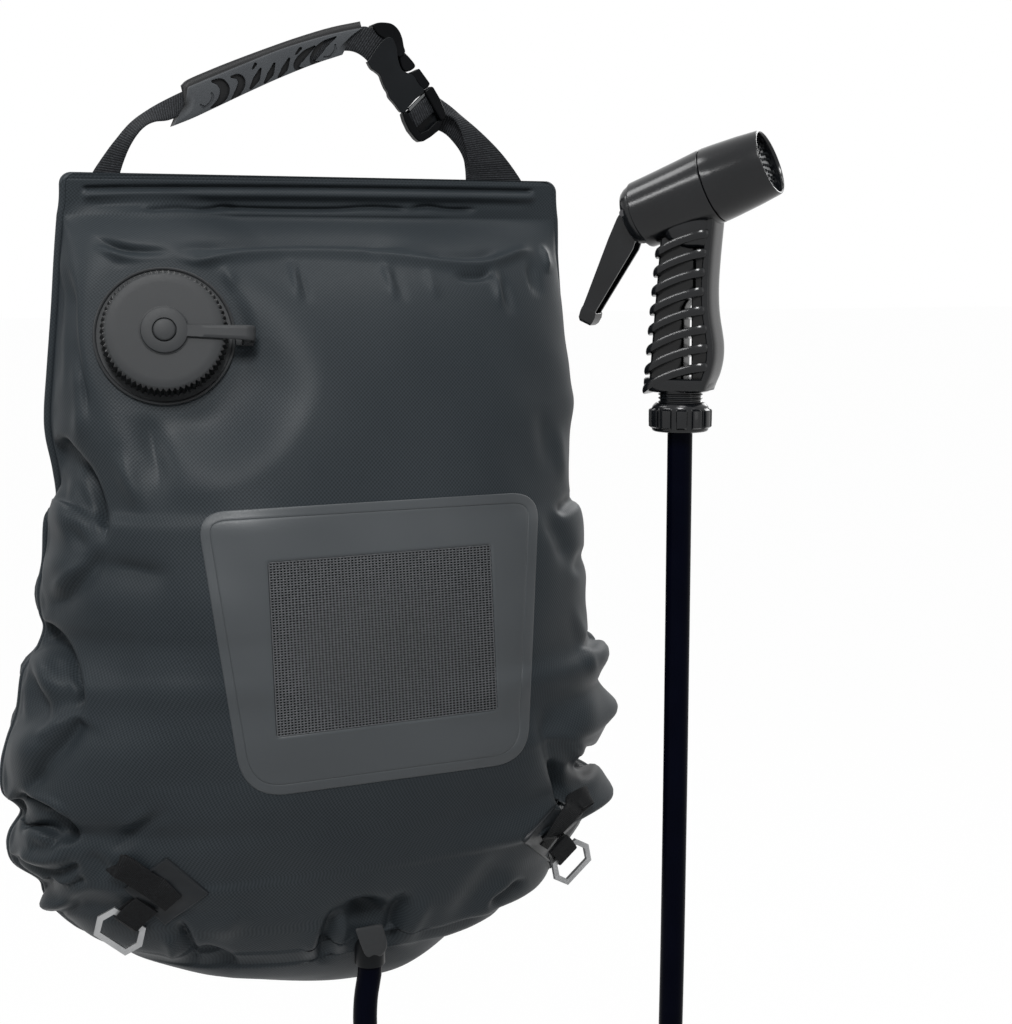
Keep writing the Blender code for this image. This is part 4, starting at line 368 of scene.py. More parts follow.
# Each fold: its line in photograph pixels, depth in millimetres (below 0 is a valley), width in pixels
# (one number, or one for each side, first the side on the left hand when walking along the line) and
# the share of its length that fades at each end
FOLDS = [
    ([(62, 177), (200, 178), (340, 180), (551, 183)], -1.1, 1.6, 0.01),
    ([(80, 188), (150, 187), (340, 188), (536, 191)], -2.6, 2, 0.02),
    ([(79, 196), (150, 194.5), (340, 195.5), (538, 198)], 2.2, 4.2, 0.02),
    ([(80, 205), (200, 202.5), (340, 203), (536, 205)], -0.8, 3.5, 0.05),
    ([(140, 208.5), (158, 207), (180, 206), (205, 208), (225, 206.5), (240, 208)], -3, (1.8, 3.4), 0.15),
    ([(222, 207), (270, 208.5), (330, 209), (372, 207), (412, 209)], -2.6, (1.8, 3), 0.08),
    ([(405, 209.5), (428, 206.5), (450, 209), (480, 209)], -2.6, (1.8, 3.2), 0.2),
    ([(95, 214), (200, 214), (330, 215), (470, 216)], 1.1, 4, 0.15),
    ([(170, 249), (200, 247), (260, 244), (330, 243), (400, 245), (425, 249)], -4.2, (8, 6), 0.2),
    ([(420, 253), (450, 257), (480, 257), (505, 251)], -2.6, (6, 3.5), 0.25),
    ([(88, 235), (104, 241), (122, 247), (144, 251), (176, 252)], -4.6, (3.4, 8), 0.35),
    ([(92, 246), (106, 250), (120, 256), (138, 260), (156, 261), (175, 263)], 4.2, 4.6, 0.3),
    ([(106, 262), (122, 267), (145, 270), (168, 269), (186, 271)], -3, (5, 3), 0.35),
    ([(168, 264), (190, 264), (215, 259), (240, 256), (270, 254.5), (300, 253.5), (340, 254), (380, 256)],
     4.2, (7, 4.6), 0.1),
    ([(360, 255), (400, 259), (440, 264), (476, 266), (500, 261), (520, 253), (536, 250)],
     4.2, (6, 4.2), 0.12),
    ([(452, 275), (476, 277), (496, 273)], -3, 3.4, 0.35),
    ([(184, 273), (194, 285), (200, 300)], -2.2, 5, 0.45),
    ([(222, 262), (228, 276), (236, 296)], 1.5, 5.5, 0.5),
    ([(289, 256), (293, 276), (301, 306)], 2.6, (5.5, 3.5), 0.45),
    ([(297, 262), (302, 282), (310, 306)], -2, 4, 0.45),
    ([(382, 258), (387, 276), (397, 304)], 2.6, (5.5, 3.2), 0.45),
    ([(390, 262), (397, 280), (407, 304)], -2, 4, 0.45),
    ([(426, 264), (430, 280), (438, 302)], 1.8, (5, 3), 0.45),
    ([(487, 262), (495, 282), (502, 312)], 3.6, (6, 3.6), 0.45),
    ([(497, 268), (506, 290), (514, 318)], -2.8, 4.5, 0.45),
    ([(541, 242), (544, 256), (549, 276)], 3.6, (4, 3), 0.4),
    ([(529, 254), (533, 274), (540, 300)], -3, 5, 0.45),
    ([(66, 262), (70, 300), (76, 345), (84, 395), (90, 430)], -5.2, (4.5, 13), 0.25),
    ([(60, 230), (62, 290), (63, 345), (63, 400)], 1.2, 3, 0.25),
    ([(72, 345), (78, 392), (80, 430), (72, 452)], 3.4, 7.5, 0.35),
    ([(58, 436), (66, 447), (76, 459), (88, 474), (97, 494), (102, 518), (104, 546)],
     -12.5, (3.8, 13), (0.1, 0.3)),
    ([(66, 458), (78, 474), (88, 494), (94, 516), (96, 540)], 3, 3.2, 0.3),
    ([(60, 470), (70, 490), (74, 512)], -4, (6, 9), 0.35),
    ([(74, 520), (80, 538), (88, 552)], -3, 5, 0.4),
    ([(114, 446), (124, 470), (138, 500), (146, 520)], 3.6, 9, 0.45),
    ([(142, 400), (151, 436), (158, 470), (163, 512)], -5, (13, 19), 0.45),
    ([(96, 560), (118, 566), (150, 572), (176, 572)], -5, (8, 14), 0.4),
    ([(104, 548), (92, 566), (76, 586), (58, 600), (44, 606)], -5.8, (11, 5), 0.25),
    ([(92, 556), (78, 574), (62, 588), (48, 594)], 3.4, 6, 0.35),
    ([(40, 622), (50, 631), (60, 642), (69, 660), (75, 680), (78, 702), (79, 722)],
     -13.5, (3.6, 15), (0.1, 0.22)),
    ([(54, 648), (64, 668), (70, 690), (71, 712)], 4.4, (7, 3.5), 0.25),
    ([(30, 660), (35, 685), (43, 708), (50, 730)], -6.2, (6, 8), 0.35),
    ([(26, 672), (26, 700), (32, 726)], 2.6, 5, 0.4),
    ([(44, 742), (56, 728), (64, 712)], 3.4, 6, 0.4),
    ([(79, 716), (70, 732), (58, 748), (46, 762), (36, 778), (24, 794)], -8.2, (14, 4.6), (0.1, 0.25)),
    ([(9, 796), (24, 802), (38, 808), (52, 815), (66, 826), (80, 842)], -15, (5, 9), 0.14),
    ([(20, 792), (40, 798), (58, 806), (72, 818)], 3, 4.5, 0.3),
    ([(20, 824), (36, 817), (54, 820), (68, 832), (72, 846)], 4, 4.2, 0.2),
    ([(26, 832), (40, 826), (54, 830), (60, 840), (50, 848), (34, 846)], -5.2, 4, 0.12),
    ([(18, 850), (34, 858), (52, 860), (70, 854)], 3.6, 4.5, 0.25),
    ([(8, 852), (24, 866), (44, 874), (62, 874), (80, 862)], -7, (4, 6), 0.15),
    ([(40, 882), (58, 888), (74, 885), (84, 876)], -6.2, (3, 6), 0.2),
    ([(44, 896), (60, 903), (76, 898)], 3.4, 5, 0.35),
    ([(50, 915), (66, 910), (84, 900)], -3, 4.5, 0.35),
    ([(104, 856), (124, 842), (146, 826), (172, 806)], -4.2, (12, 6), 0.4),
    ([(112, 838), (136, 820), (160, 804)], 2.4, 7, 0.45),
    ([(82, 850), (98, 866), (106, 884)], -4, 8, 0.4),
    ([(198, 968), (193, 952), (185, 934), (180, 915)], -9, (6, 4), 0.35),
    ([(192, 956), (206, 950), (222, 955), (240, 966)], -5.6, (4, 8), 0.25),
    ([(176, 962), (172, 945), (166, 930)], 3, 7, 0.4),
    ([(214, 944), (228, 920), (246, 896)], 3, 12, 0.45),
    ([(321, 966), (324, 944), (332, 922), (340, 906)], -8.5, (5, 8), 0.35),
    ([(306, 962), (312, 936), (322, 912)], 3.4, 8, 0.4),
    ([(337, 958), (341, 936), (349, 914)], 3.6, 6, 0.4),
    ([(386, 952), (394, 930), (404, 908), (412, 890)], -8.5, (8, 5), 0.35),
    ([(400, 950), (412, 926), (424, 902), (432, 884)], 3.4, 8, 0.4),
    ([(440, 938), (456, 915), (480, 890), (498, 866), (512, 838)], -5, 14, 0.35),
    ([(470, 918), (496, 896), (520, 870)], 3, 8, 0.4),
    ([(484, 908), (498, 897), (514, 885), (528, 878)], -6.2, (3, 6), 0.3),
    ([(556, 760), (558, 780), (562, 798), (570, 812)], -10, (6, 4), 0.3),
    ([(546, 700), (550, 735), (555, 768), (558, 790)], -5.6, (14, 8), 0.35),
    ([(572, 730), (578, 752), (586, 768)], 4.4, 7, 0.4),
    ([(600, 748), (590, 752), (580, 762), (572, 778)], -7, 5.5, 0.3),
    ([(572, 600), (580, 632), (590, 662), (596, 690)], 3, 5, 0.4),
    ([(598, 628), (590, 640), (582, 652)], -5, 6, 0.35),
    ([(542, 505), (552, 524), (562, 545), (568, 575)], -4.6, 9, 0.4),
    ([(574, 492), (566, 504), (556, 516)], -4.6, 6, 0.35),
    ([(560, 420), (560, 455), (562, 490)], 2, 5, 0.4),
    ([(540, 400), (546, 440), (550, 480)], -2.2, 9, 0.45),
    ([(586, 545), (578, 560), (572, 580)], -3.4, 6, 0.4),
]
# Each lump: its centre and size in pixels, its tilt in degrees and its height in millimetres
LUMPS = [
    ((70, 508), (18, 30), -8, 10), ((68, 566), (22, 20), 20, 6.2), ((48, 668), (15, 30), -14, 8),
    ((38, 748), (20, 28), 28, 8.6), ((46, 838), (26, 19), 14, 10), ((62, 894), (20, 12), -16, 6),
    ((215, 905), (45, 34), 0, 3), ((290, 910), (34, 30), 0, 3.4), ((455, 905), (40, 30), -30, 3),
    ((368, 916), (21, 12), 0, -18), ((585, 706), (14, 26), 0, 4), ((590, 780), (12, 16), 0, 5.6),
    ((575, 560), (10, 34), 0, 2.6), ((262, 330), (90, 60), 0, 2.4), ((430, 560), (150, 90), 0, 3),
    ((118, 690), (24, 90), 0, -3), ((130, 760), (60, 36), -20, 2.2),
]
ACROSS, DOWN = 272, 362
z_rows = np.concatenate([np.linspace(0, -HEM_HEIGHT, 44)[:-1],
                         -HEM_HEIGHT + (FOOT + 0.0010 + HEM_HEIGHT)
                         * (0.5 * (1 - np.cos(np.linspace(0, math.pi, DOWN - 43))) * 0.72
                            + 0.28 * np.linspace(0, 1, DOWN - 43))])
q_row = np.linspace(-1, 1, ACROSS)
front_points, front_s = bag_grid(q_row[None, :], z_rows[:, None], FRONT_DEPTH, -1)
front_normals = grid_normals(front_points, -1)
front_px, front_py = pixels(front_points)
rise = np.zeros(front_px.shape)
for line, depth, width, ends in FOLDS:
    rise += ripple(front_px, front_py, line, depth / 1000, width, ends)
for centre, size, tilt, height in LUMPS:
    rise += lump(front_px, front_py, centre, size, tilt, height / 1000)
edge_gap = 1 - np.abs(front_s)
SMOOTH_TOP, GATHER_RUN = 0.05, 0.40
down_share = np.clip((-z_rows[:, None] - SMOOTH_TOP) / GATHER_RUN, 0, 1)
pucker = np.sin(z_rows[:, None] * 165 + 1.3 * np.sin(z_rows[:, None] * 43) + 2.0 * np.sign(front_s))
rise += 0.0022 * down_share * pucker * np.exp(-(edge_gap / 0.05)) * smooth(edge_gap / 0.004)
front_x, front_z = front_points[..., 0], front_points[..., 2]
slow = (np.sin(front_x * 31 + 1.7) * np.sin(front_z * 27 + 0.6) + 0.6 * np.sin(front_x * 57 - front_z * 41)
        + 0.4 * np.sin(front_x * 103 + front_z * 77 + 1.1))
rise += 0.0009 * slow * smooth(down_share * 4) * smooth(edge_gap / 0.02)
from_cap = np.hypot(front_points[..., 0] - CAP_AT[0], front_points[..., 2] - HEM_TOP - CAP_AT[2])
keep_flat = smooth((from_cap - 0.046) / 0.012)
rise *= keep_flat * smooth(edge_gap / 0.0015)
front_points = front_points + front_normals * rise[..., None]


def sheet_mesh(name, grid, texture_map=None, closed=False):
    """Mesh object from a grid of points, quads between neighbours, with a UV map in metres."""
    rows, columns = grid.shape[:2]
    index = np.arange(rows * columns).reshape(rows, columns)
    if closed:
        index = np.hstack([index, index[:, :1]])
    quads = np.stack([index[:-1, :-1], index[:-1, 1:], index[1:, 1:], index[1:, :-1]], axis=-1).reshape(-1, 4)
    mesh = bpy.data.meshes.new(name)
    mesh.vertices.add(rows * columns)
    mesh.vertices.foreach_set("co", grid.reshape(-1).astype(np.float32))
    mesh.loops.add(quads.size)
    mesh.loops.foreach_set("vertex_index", quads.reshape(-1).astype(np.int32))
    mesh.polygons.add(len(quads))
    mesh.polygons.foreach_set("loop_start", np.arange(0, quads.size, 4, dtype=np.int32))
    mesh.polygons.foreach_set("loop_total", np.full(len(quads), 4, dtype=np.int32))
    if texture_map is not None:
        layer = mesh.uv_layers.new(name="cloth")
        spots = texture_map.reshape(-1, 2)[quads.reshape(-1)]
        layer.data.foreach_set("uv", spots.reshape(-1).astype(np.float32))
    mesh.update()
    mesh.validate()
    mesh.shade_smooth()
    return link_new(name, mesh)


def cloth_map(grid):
    """UV in metres: lengths walked along the rows and down the columns of the sheet."""
    across = np.cumsum(np.pad(np.linalg.norm(np.diff(grid, axis=1), axis=-1), ((0, 0), (1, 0))), axis=1)
    down = np.cumsum(np.pad(np.linalg.norm(np.diff(grid, axis=0), axis=-1), ((1, 0), (0, 0))), axis=0)
    return np.stack([across - across[:, across.shape[1] // 2, None], -down[:, down.shape[1] // 2, None]
                     + 0 * across], axis=-1)


def math_node(tree, operation, *values):
    """Result of a sum on numbers or sockets."""
    return add_node(tree, "Math", dict(enumerate(values)), operation=operation).outputs["Value"]


def weave_group():
    """Node group: a weave a little off square, the product of two crossed sine waves, from 0 to 1."""
    group, way_in, way_out = start_group("diagonal_weave", {"Threads Per Metre": 480.0}, ("Weave",))
    turned = add_node(group, "Mapping", {"Rotation": (0, 0, math.radians(4)),
                                         "Vector": way_in.outputs["Vector"]})
    parts = add_node(group, "SeparateXYZ", {"Vector": turned.outputs["Vector"]})
    waves = []
    for axis, stretch in (("X", 1.0), ("Y", 0.93)):
        speed = math_node(group, "MULTIPLY", way_in.outputs["Threads Per Metre"], 2 * math.pi * stretch)
        waves.append(math_node(group, "SINE", math_node(group, "MULTIPLY", parts.outputs[axis], speed)))
    both = math_node(group, "MULTIPLY", waves[0], waves[1])
    spread = add_node(group, "MapRange", {"From Min": -1.0, "Value": both})
    group.links.new(spread.outputs["Result"], way_out.inputs["Weave"])
    return group


WEAVE = weave_group()


def coated_cloth(name, dark, light, roughness, bump, threads, gloss):
    """Coated cloth: the weave lightens the raised threads and lifts them in the bump, and slow patches of
    rubbed coating shift both the colour and the roughness."""
    made, tree, shader, where = start_finish(name)
    woven = {"Threads Per Metre": threads, "Vector": where.outputs["UV"]}
    weave = add_node(tree, "Group", woven, node_tree=WEAVE).outputs["Weave"]
    mottle = mottled(tree, where, 9.0, 700.0)
    tint = blend(tree, weave, (*dark, 1), (*light, 1))
    relief = add_node(tree, "Bump", {"Distance": bump, "Height": weave})
    grain = add_node(tree, "Bump", {"Distance": bump * 0.6, "Height": mottle["Grain"],
                                    "Normal": relief.outputs["Normal"]})
    feed(tree, shader, {"Base Color": blend(tree, mottle["Patch"], tint, (0.80, 0.82, 0.84, 1), "MULTIPLY"),
                        "Roughness": spread_over(tree, mottle["Patch"], roughness - 0.06, roughness + 0.06),
                        "Specular IOR Level": gloss, "Normal": grain.outputs["Normal"]})
    return made


BAG_CLOTH = coated_cloth("bag_cloth", (0.0120, 0.0150, 0.0175), (0.0290, 0.0350, 0.0395), 0.46, 0.00005,
                         410.0, 0.09)
front = sheet_mesh("bag_front", front_points, cloth_map(front_points))
front.data.flip_normals()
dress(front, BAG_CLOTH, "root", "coated_fabric", "front_sheet", "hem_band")

# Bag back
# The same cloth, flatter than the front because the bag leans on it, with broad soft folds.
# It meets the front at the welded edge all round.
back_q = np.linspace(-1, 1, 170)
back_rows = z_rows[::2]
if back_rows[-1] != z_rows[-1]:
    back_rows = np.append(back_rows, z_rows[-1])
back_points, back_s = bag_grid(back_q[None, :], back_rows[:, None], BACK_DEPTH, 1)
back_normals = grid_normals(back_points, 1)
back_gap = 1 - np.abs(back_s)
back_down = np.clip((-back_rows[:, None] - SMOOTH_TOP) / GATHER_RUN, 0, 1)
back_x, back_z = back_points[..., 0], back_rows[:, None]
gathers = np.sin(back_z * 150 + 1.1 * np.sin(back_z * 37) + 2.6 * np.sign(back_s))
back_rise = 0.0026 * back_down * gathers * np.exp(-back_gap / 0.10)
back_rise += 0.0016 * np.sin(back_x * 26 + 0.4) * np.sin(back_points[..., 2] * 19 + 1.0) * back_down
back_rise += 0.0022 * np.exp(-((back_z + 0.045 + 0.006 * np.sin(back_x * 22)) / 0.006) ** 2)
back_rise += 0.0016 * np.sin(back_x * 90) * np.exp(-((back_z + 0.065) / 0.022) ** 2)
back_points = back_points + back_normals * (back_rise * smooth(back_gap / 0.004))[..., None]
back = sheet_mesh("bag_back", back_points, cloth_map(back_points))
dress(back, BAG_CLOTH, "root", "coated_fabric", "back_sheet")

# Welded edge
# Front and back are fused in a thin bead round the bag: over the hem's small round corners, down
# both sides and round the foot.
corner = np.linspace(0, math.pi / 2, 14)
corner_x, corner_z = CORNER_ROUND * (1 - np.cos(corner)), -CORNER_ROUND * (1 - np.sin(corner))
edge_top = np.vstack([np.stack([HEM_LEFT + corner_x, corner_z], axis=1),
                      np.stack([HEM_RIGHT - corner_x, corner_z], axis=1)[::-1]])
SIDE_TOP, SIDE_END = -0.0085, -0.49
side_z = np.linspace(SIDE_TOP, SIDE_END, 300)
side_left = np.stack([edge_x(left_line, side_z, HEM_LEFT), side_z], axis=1)
side_right = np.stack([edge_x(right_line, side_z, HEM_RIGHT), side_z], axis=1)
foot_left = left_line[left_line[:, 1] < SIDE_END]
foot_right = right_line[right_line[:, 1] < SIDE_END]
edge_loop = np.vstack([edge_top, side_right, foot_right, foot_left[::-1], side_left[::-1]])
edge_path = evenly(np.vstack([edge_loop, edge_loop[:1]]), 1200, endpoint=False)
edge_way = np.roll(edge_path, -2, axis=0) - np.roll(edge_path, 2, axis=0)
edge_way /= np.linalg.norm(edge_way, axis=1)[:, None]
edge_out = np.stack([-edge_way[:, 1], edge_way[:, 0]], axis=1)
ring = np.linspace(0, 2 * math.pi, 14, endpoint=False)
bead_wide = (0.0012 + 0.0017 * (1 - smooth((-edge_path[:, 1] - RIM_FROM) / RIM_RUN)))[:, None]
bead_thick = 0.0026
bead_reach = np.cos(ring) * bead_wide - bead_wide * 0.9
edge_grid = np.stack([edge_path[:, None, 0] + edge_out[:, None, 0] * bead_reach,
                      np.sin(ring)[None, :] * bead_thick * np.ones((len(edge_path), 1)),
                      edge_path[:, None, 1] + edge_out[:, None, 1] * bead_reach + HEM_TOP], axis=-1)
edge_grid = np.vstack([edge_grid, edge_grid[:1]])
weld = sheet_mesh("welded_edge", edge_grid, cloth_map(edge_grid), closed=True)
dress(weld, BAG_CLOTH, "root", "coated_fabric", "side_weld")

# Pocket panel
# A smooth film panel welded to the bag's front: rounded corners, a pressed line just inside its
# edge, and a window cut for the net.
blank_rows, blank_columns = front_points.shape[:2]
front_px, front_py = pixels(front_points)
front_normals = grid_normals(front_points, -1)
slope_px = np.gradient(front_px)
slope_py = np.gradient(front_py)


def grid_at(field, row, column):
    """Field of the sheet between its grid points, by the four nearest values."""
    r0 = np.clip(np.floor(row).astype(int), 0, blank_rows - 2)
    c0 = np.clip(np.floor(column).astype(int), 0, blank_columns - 2)
    a, b = row - r0, column - c0
    if field.ndim == 3:
        a, b = a[..., None], b[..., None]
    low = field[r0, c0] * (1 - b) + field[r0, c0 + 1] * b
    high = field[r0 + 1, c0] * (1 - b) + field[r0 + 1, c0 + 1] * b
    return low * (1 - a) + high * a


NEWTON_STEPS, LONGEST_STEP = 14, 12


def on_bag(px, py, lift=0.0):
    """Point of the front sheet behind each pixel, moved outwards by lift. Newton's steps on the sheet's own
    grid of pixels start from where the flat seam plane would be."""
    px, py, lift = np.broadcast_arrays(np.asarray(px, float), np.asarray(py, float), np.asarray(lift, float))
    guess = on_plane(px, py, -0.09)
    z = np.clip(guess[..., 2] - HEM_TOP, z_rows[-1] + 0.003, -0.001)
    row = np.interp(-z, -z_rows, np.arange(blank_rows))
    low, high = edge_x(left_line, z, HEM_LEFT), edge_x(right_line, z, HEM_RIGHT)
    s = np.clip((guess[..., 0] - (low + high) / 2) / (high - low) * 2, -0.98, 0.98)
    column = (np.arcsin(s) * 2 / math.pi + 1) / 2 * (blank_columns - 1)
    for _ in range(NEWTON_STEPS):
        ex, ey = px - grid_at(front_px, row, column), py - grid_at(front_py, row, column)
        xr, xc = grid_at(slope_px[0], row, column), grid_at(slope_px[1], row, column)
        yr, yc = grid_at(slope_py[0], row, column), grid_at(slope_py[1], row, column)
        det = xr * yc - xc * yr
        det = np.where(np.abs(det) < 1e-6, 1e-6, det)
        down = np.clip((ex * yc - ey * xc) / det, -LONGEST_STEP, LONGEST_STEP)
        along = np.clip((ey * xr - ex * yr) / det, -LONGEST_STEP, LONGEST_STEP)
        row = np.clip(row + down, 0, blank_rows - 1.001)
        column = np.clip(column + along, 0, blank_columns - 1.001)
    normal = grid_at(front_normals, row, column)
    return grid_at(front_points, row, column) + normal * lift[..., None], normal


def rounded(corners, radii, count):
    """Closed outline through fillets at the corners, count points evenly along each side, starting at the
    middle of the first corner. A fillet is a quadratic curve between its two tangent points."""
    corners = np.array(corners, float)
    pieces = []
    size = len(corners)
    t = np.linspace(0, 1, 25)[:, None]
    for k in range(size):
        back, here, ahead = corners[k - 1], corners[k], corners[(k + 1) % size]
        a = here + (back - here) / np.linalg.norm(back - here) * radii[k]
        b = here + (ahead - here) / np.linalg.norm(ahead - here) * radii[k]
        pieces.append((1 - t) ** 2 * a + 2 * t * (1 - t) * here + t ** 2 * b)
    sides = []
    for k in range(size):
        sides.append(evenly(np.vstack([pieces[k][12:], pieces[(k + 1) % size][:13]]), count, endpoint=False))
    return np.vstack(sides)


def face_out(made):
    """Turns a laid sheet's faces towards the front of the bag."""
    count = len(made.data.polygons)
    normal = np.zeros(count * 3)
    made.data.polygons.foreach_get("normal", normal)
    if normal.reshape(-1, 3)[:, 1].sum() > 0:
        made.data.flip_normals()


PANEL_CORNERS = [(196, 512.5), (539, 491.4), (527.7, 761.5), (243.7, 800.2)]
WINDOW_CORNERS = [(267, 562), (491, 544), (498, 710), (276, 738)]
outer_line = rounded(PANEL_CORNERS, (30, 30, 36, 46), 150)
window_line = rounded(WINDOW_CORNERS, (4, 4, 4, 4), 150)
tangent = np.roll(outer_line, -1, axis=0) - np.roll(outer_line, 1, axis=0)
tangent /= np.linalg.norm(tangent, axis=1)[:, None]
inward = np.stack([-tangent[:, 1], tangent[:, 0]], axis=1)
INSETS = np.array([0.0, 0.0, 0.35, 0.9, 1.6, 4.0, 7.5, 9.6, 9.9, 10.2, 10.5, 10.8, 13.0, 15.0])
HEIGHTS = np.array([-0.8, 0.1, 0.45, 0.68, 0.75, 0.78, 0.80, 0.80, 0.72, 0.20, 0.72, 0.80, 0.80, 0.80]) / 1000
near_rings = [outer_line + inward * inset for inset in INSETS]
shares = np.linspace(0, 1, 16)[1:]
far_rings = [near_rings[-1] * (1 - k) + window_line * k for k in shares]
window_in = window_line + (np.mean(window_line, axis=0) - window_line) * 0.006
ring_px = np.array(near_rings + far_rings + [window_in, window_in])
ring_lift = np.concatenate([HEIGHTS, np.full(len(shares) - 1, 0.80) / 1000, [0.00074, 0.0004, -0.0008]])
panel_grid, _ = on_bag(ring_px[..., 0], ring_px[..., 1], ring_lift[:, None])
panel = sheet_mesh("pocket_film", panel_grid, cloth_map(panel_grid), closed=True)
face_out(panel)
FILM_GREY = moulded("film_grey", (0.0330, 0.0375, 0.0410), (0.0410, 0.0460, 0.0500), 0.42, 0.05, 0.000012,
                    slow=5.0, fine=1100.0, gloss=0.30)
dress(panel, FILM_GREY, "root", "pocket_film", "pocket_panel")

# Pocket net
# A fine woven net behind the window. Each thread passes over one crossing and under the next,
# and a near-black sheet under the threads shows through as painted shade inside the pocket.
ACROSS_THREADS, DOWN_THREADS = 66, 66
net_u, net_v = np.meshgrid((np.arange(ACROSS_THREADS) + 0.5) / ACROSS_THREADS,
                           (np.arange(DOWN_THREADS) + 0.5) / DOWN_THREADS)
window = np.array(WINDOW_CORNERS, float)


def in_window(u, v):
    """Pixel at share u across and v down the window, from its four corners."""
    u, v = u[..., None], v[..., None]
    return ((window[0] * (1 - u) + window[1] * u) * (1 - v)
            + (window[3] * (1 - u) + window[2] * u) * v)


weave_sign = np.where((np.arange(DOWN_THREADS)[:, None] + np.arange(ACROSS_THREADS)[None, :]) % 2, 1.0, -1.0)
spot = in_window(net_u, net_v)
net_base, net_up = on_bag(spot[..., 0], spot[..., 1], 0.00045)


def threads(base, up, sign, wide, thick, swing):
    """Threads along the grid's rows as flat four-sided strands, lifted by swing times sign at crossings."""
    way = np.gradient(base, axis=1)
    way /= np.linalg.norm(way, axis=-1, keepdims=True)
    side = np.cross(up, way)
    middle = base + up * (sign * swing)[..., None]
    out, rise = side * wide / 2, up * thick / 2
    points = np.stack([middle + out, middle + rise, middle - out, middle - rise], axis=2)
    rows, columns = points.shape[:2]
    index = np.arange(rows * columns * 4).reshape(rows, columns, 4)
    ahead, turned_on = index[:, 1:], np.roll(index, -1, axis=2)
    quads = np.stack([index[:, :-1], turned_on[:, :-1], turned_on[:, 1:], ahead], axis=-1).reshape(-1, 4)
    return points.reshape(-1, 3), quads


LEVEL_WIDE, PLUMB_WIDE, THREAD_THICK, THREAD_SWING = 0.00086, 0.00102, 0.00044, 0.00024
level_points, level_quads = threads(net_base, net_up, weave_sign, LEVEL_WIDE, THREAD_THICK, THREAD_SWING)
plumb_points, plumb_quads = threads(net_base.transpose(1, 0, 2), net_up.transpose(1, 0, 2), -weave_sign.T,
                                    PLUMB_WIDE, THREAD_THICK, THREAD_SWING)
net_mesh = bpy.data.meshes.new("pocket_mesh")
net_mesh.from_pydata(np.vstack([level_points, plumb_points]), [],
                     np.vstack([level_quads, plumb_quads + len(level_points)]))
net_mesh.update()
net_mesh.shade_smooth()
NET_THREAD = moulded("net_thread", (0.060, 0.063, 0.067), (0.082, 0.086, 0.091), 0.5, 0.06, 0.00001,
                     slow=420.0)
dress(link_new("pocket_mesh", net_mesh), NET_THREAD, "root", "net", "pocket_net")
corner_spread = np.linspace(-0.004, 1.004, 40)
sheet_u, sheet_v = np.meshgrid(corner_spread, corner_spread)
shade_sheet_px = in_window(sheet_u, sheet_v)
shade_sheet_grid, _ = on_bag(shade_sheet_px[..., 0], shade_sheet_px[..., 1], 0.00012)
shade_sheet = sheet_mesh("pocket_shade_sheet", shade_sheet_grid, cloth_map(shade_sheet_grid))
face_out(shade_sheet)
# Near black: painted shade inside the pocket, seen between the threads.
POCKET_PAINTED_SHADE = moulded("pocket_painted_shade", (0.0014, 0.0017, 0.0020), (0.0026, 0.0031, 0.0036), 0.8, 0.08, 0.00003,
                      slow=40.0, gloss=0.03)
dress(shade_sheet, POCKET_PAINTED_SHADE, "root", "coated_fabric")

# Fill neck
# A moulded ring welded into the bag, with a raised lip round it and the threaded neck that the
# cap screws on to.
MOUTH = np.array([(0.97014, -0.23952, -0.03834), (0.09808, 0.24274, 0.96512), (-0.22185, -0.94006, 0.25899)])
MOUTH_AT = np.array([-0.1205, -0.0500, -0.1725])


def turned_piece(name, outline, axes, centre, sides=96, swell=None, sharp=32):
    """A profile of (radius, height) in millimetres carried round the third axis. swell(angle, height) is
    added to the radius, for teeth and ribs."""
    outline = np.array(outline, float) / 1000
    angle = np.linspace(0, 2 * math.pi, sides, endpoint=False)
    radius = outline[:, :1] * np.ones(sides)
    if swell is not None:
        radius = radius + swell(angle[None, :], outline[:, 1:2])
    local = np.stack([radius * np.cos(angle), radius * np.sin(angle),
                      outline[:, 1:2] * np.ones(sides)], axis=-1)
    made = sheet_mesh(name, local @ axes + centre, closed=True)
    tidy(made, sharp)
    return made


def tidy(made, sharp=32):
    """Merges doubled points, turns the faces outwards and keeps edges over the given angle crisp."""
    shell = bmesh.new()
    shell.from_mesh(made.data)
    bmesh.ops.remove_doubles(shell, verts=shell.verts, dist=1e-6)
    bmesh.ops.recalc_face_normals(shell, faces=shell.faces)
    shell.to_mesh(made.data)
    shell.free()
    made.data.shade_smooth()
    made.data.set_sharp_from_angle(angle=math.radians(sharp))


CAP_PLASTIC = moulded("cap_satin", (0.0225, 0.0240, 0.0255), (0.0270, 0.0285, 0.0300), 0.46, 0.05,
                      0.000012, slow=8.0, fine=1500.0, gloss=0.14)
neck = turned_piece("fill_ring", [
    (31.5, -6), (34.8, -6), (43, -1.2), (43.7, 0.2), (43.7, 1.8), (43.4, 2.4), (42.8, 2.7), (42.1, 2.5),
    (41.7, 2), (41.4, 1.7), (40, 1.6), (35.2, 1.8), (34.9, 2.4), (34.8, 12.2), (34.5, 12.4), (31.6, 12.4),
    (31.5, 12), (31.5, -6)],
    MOUTH, MOUTH_AT, 128)
dress(neck, CAP_PLASTIC, "root", "cap_plastic", "fill_neck")

# Screw cap
# Satin grey plastic: a flat top, a low button in the middle that holds the tether's ring, and a
# toothed wall for the fingers, painted darker as shade.
TEETH = 66


def teeth(angle, height):
    """Pointed teeth 1.8 mm high on the wall, fading out at its top and foot."""
    wave = np.abs(((angle * TEETH / (2 * math.pi)) % 1) * 2 - 1)
    share = smooth((0.0168 - height) / 0.0007) * smooth((height - 0.0036) / 0.0012)
    return 0.0018 * wave ** 1.1 * share


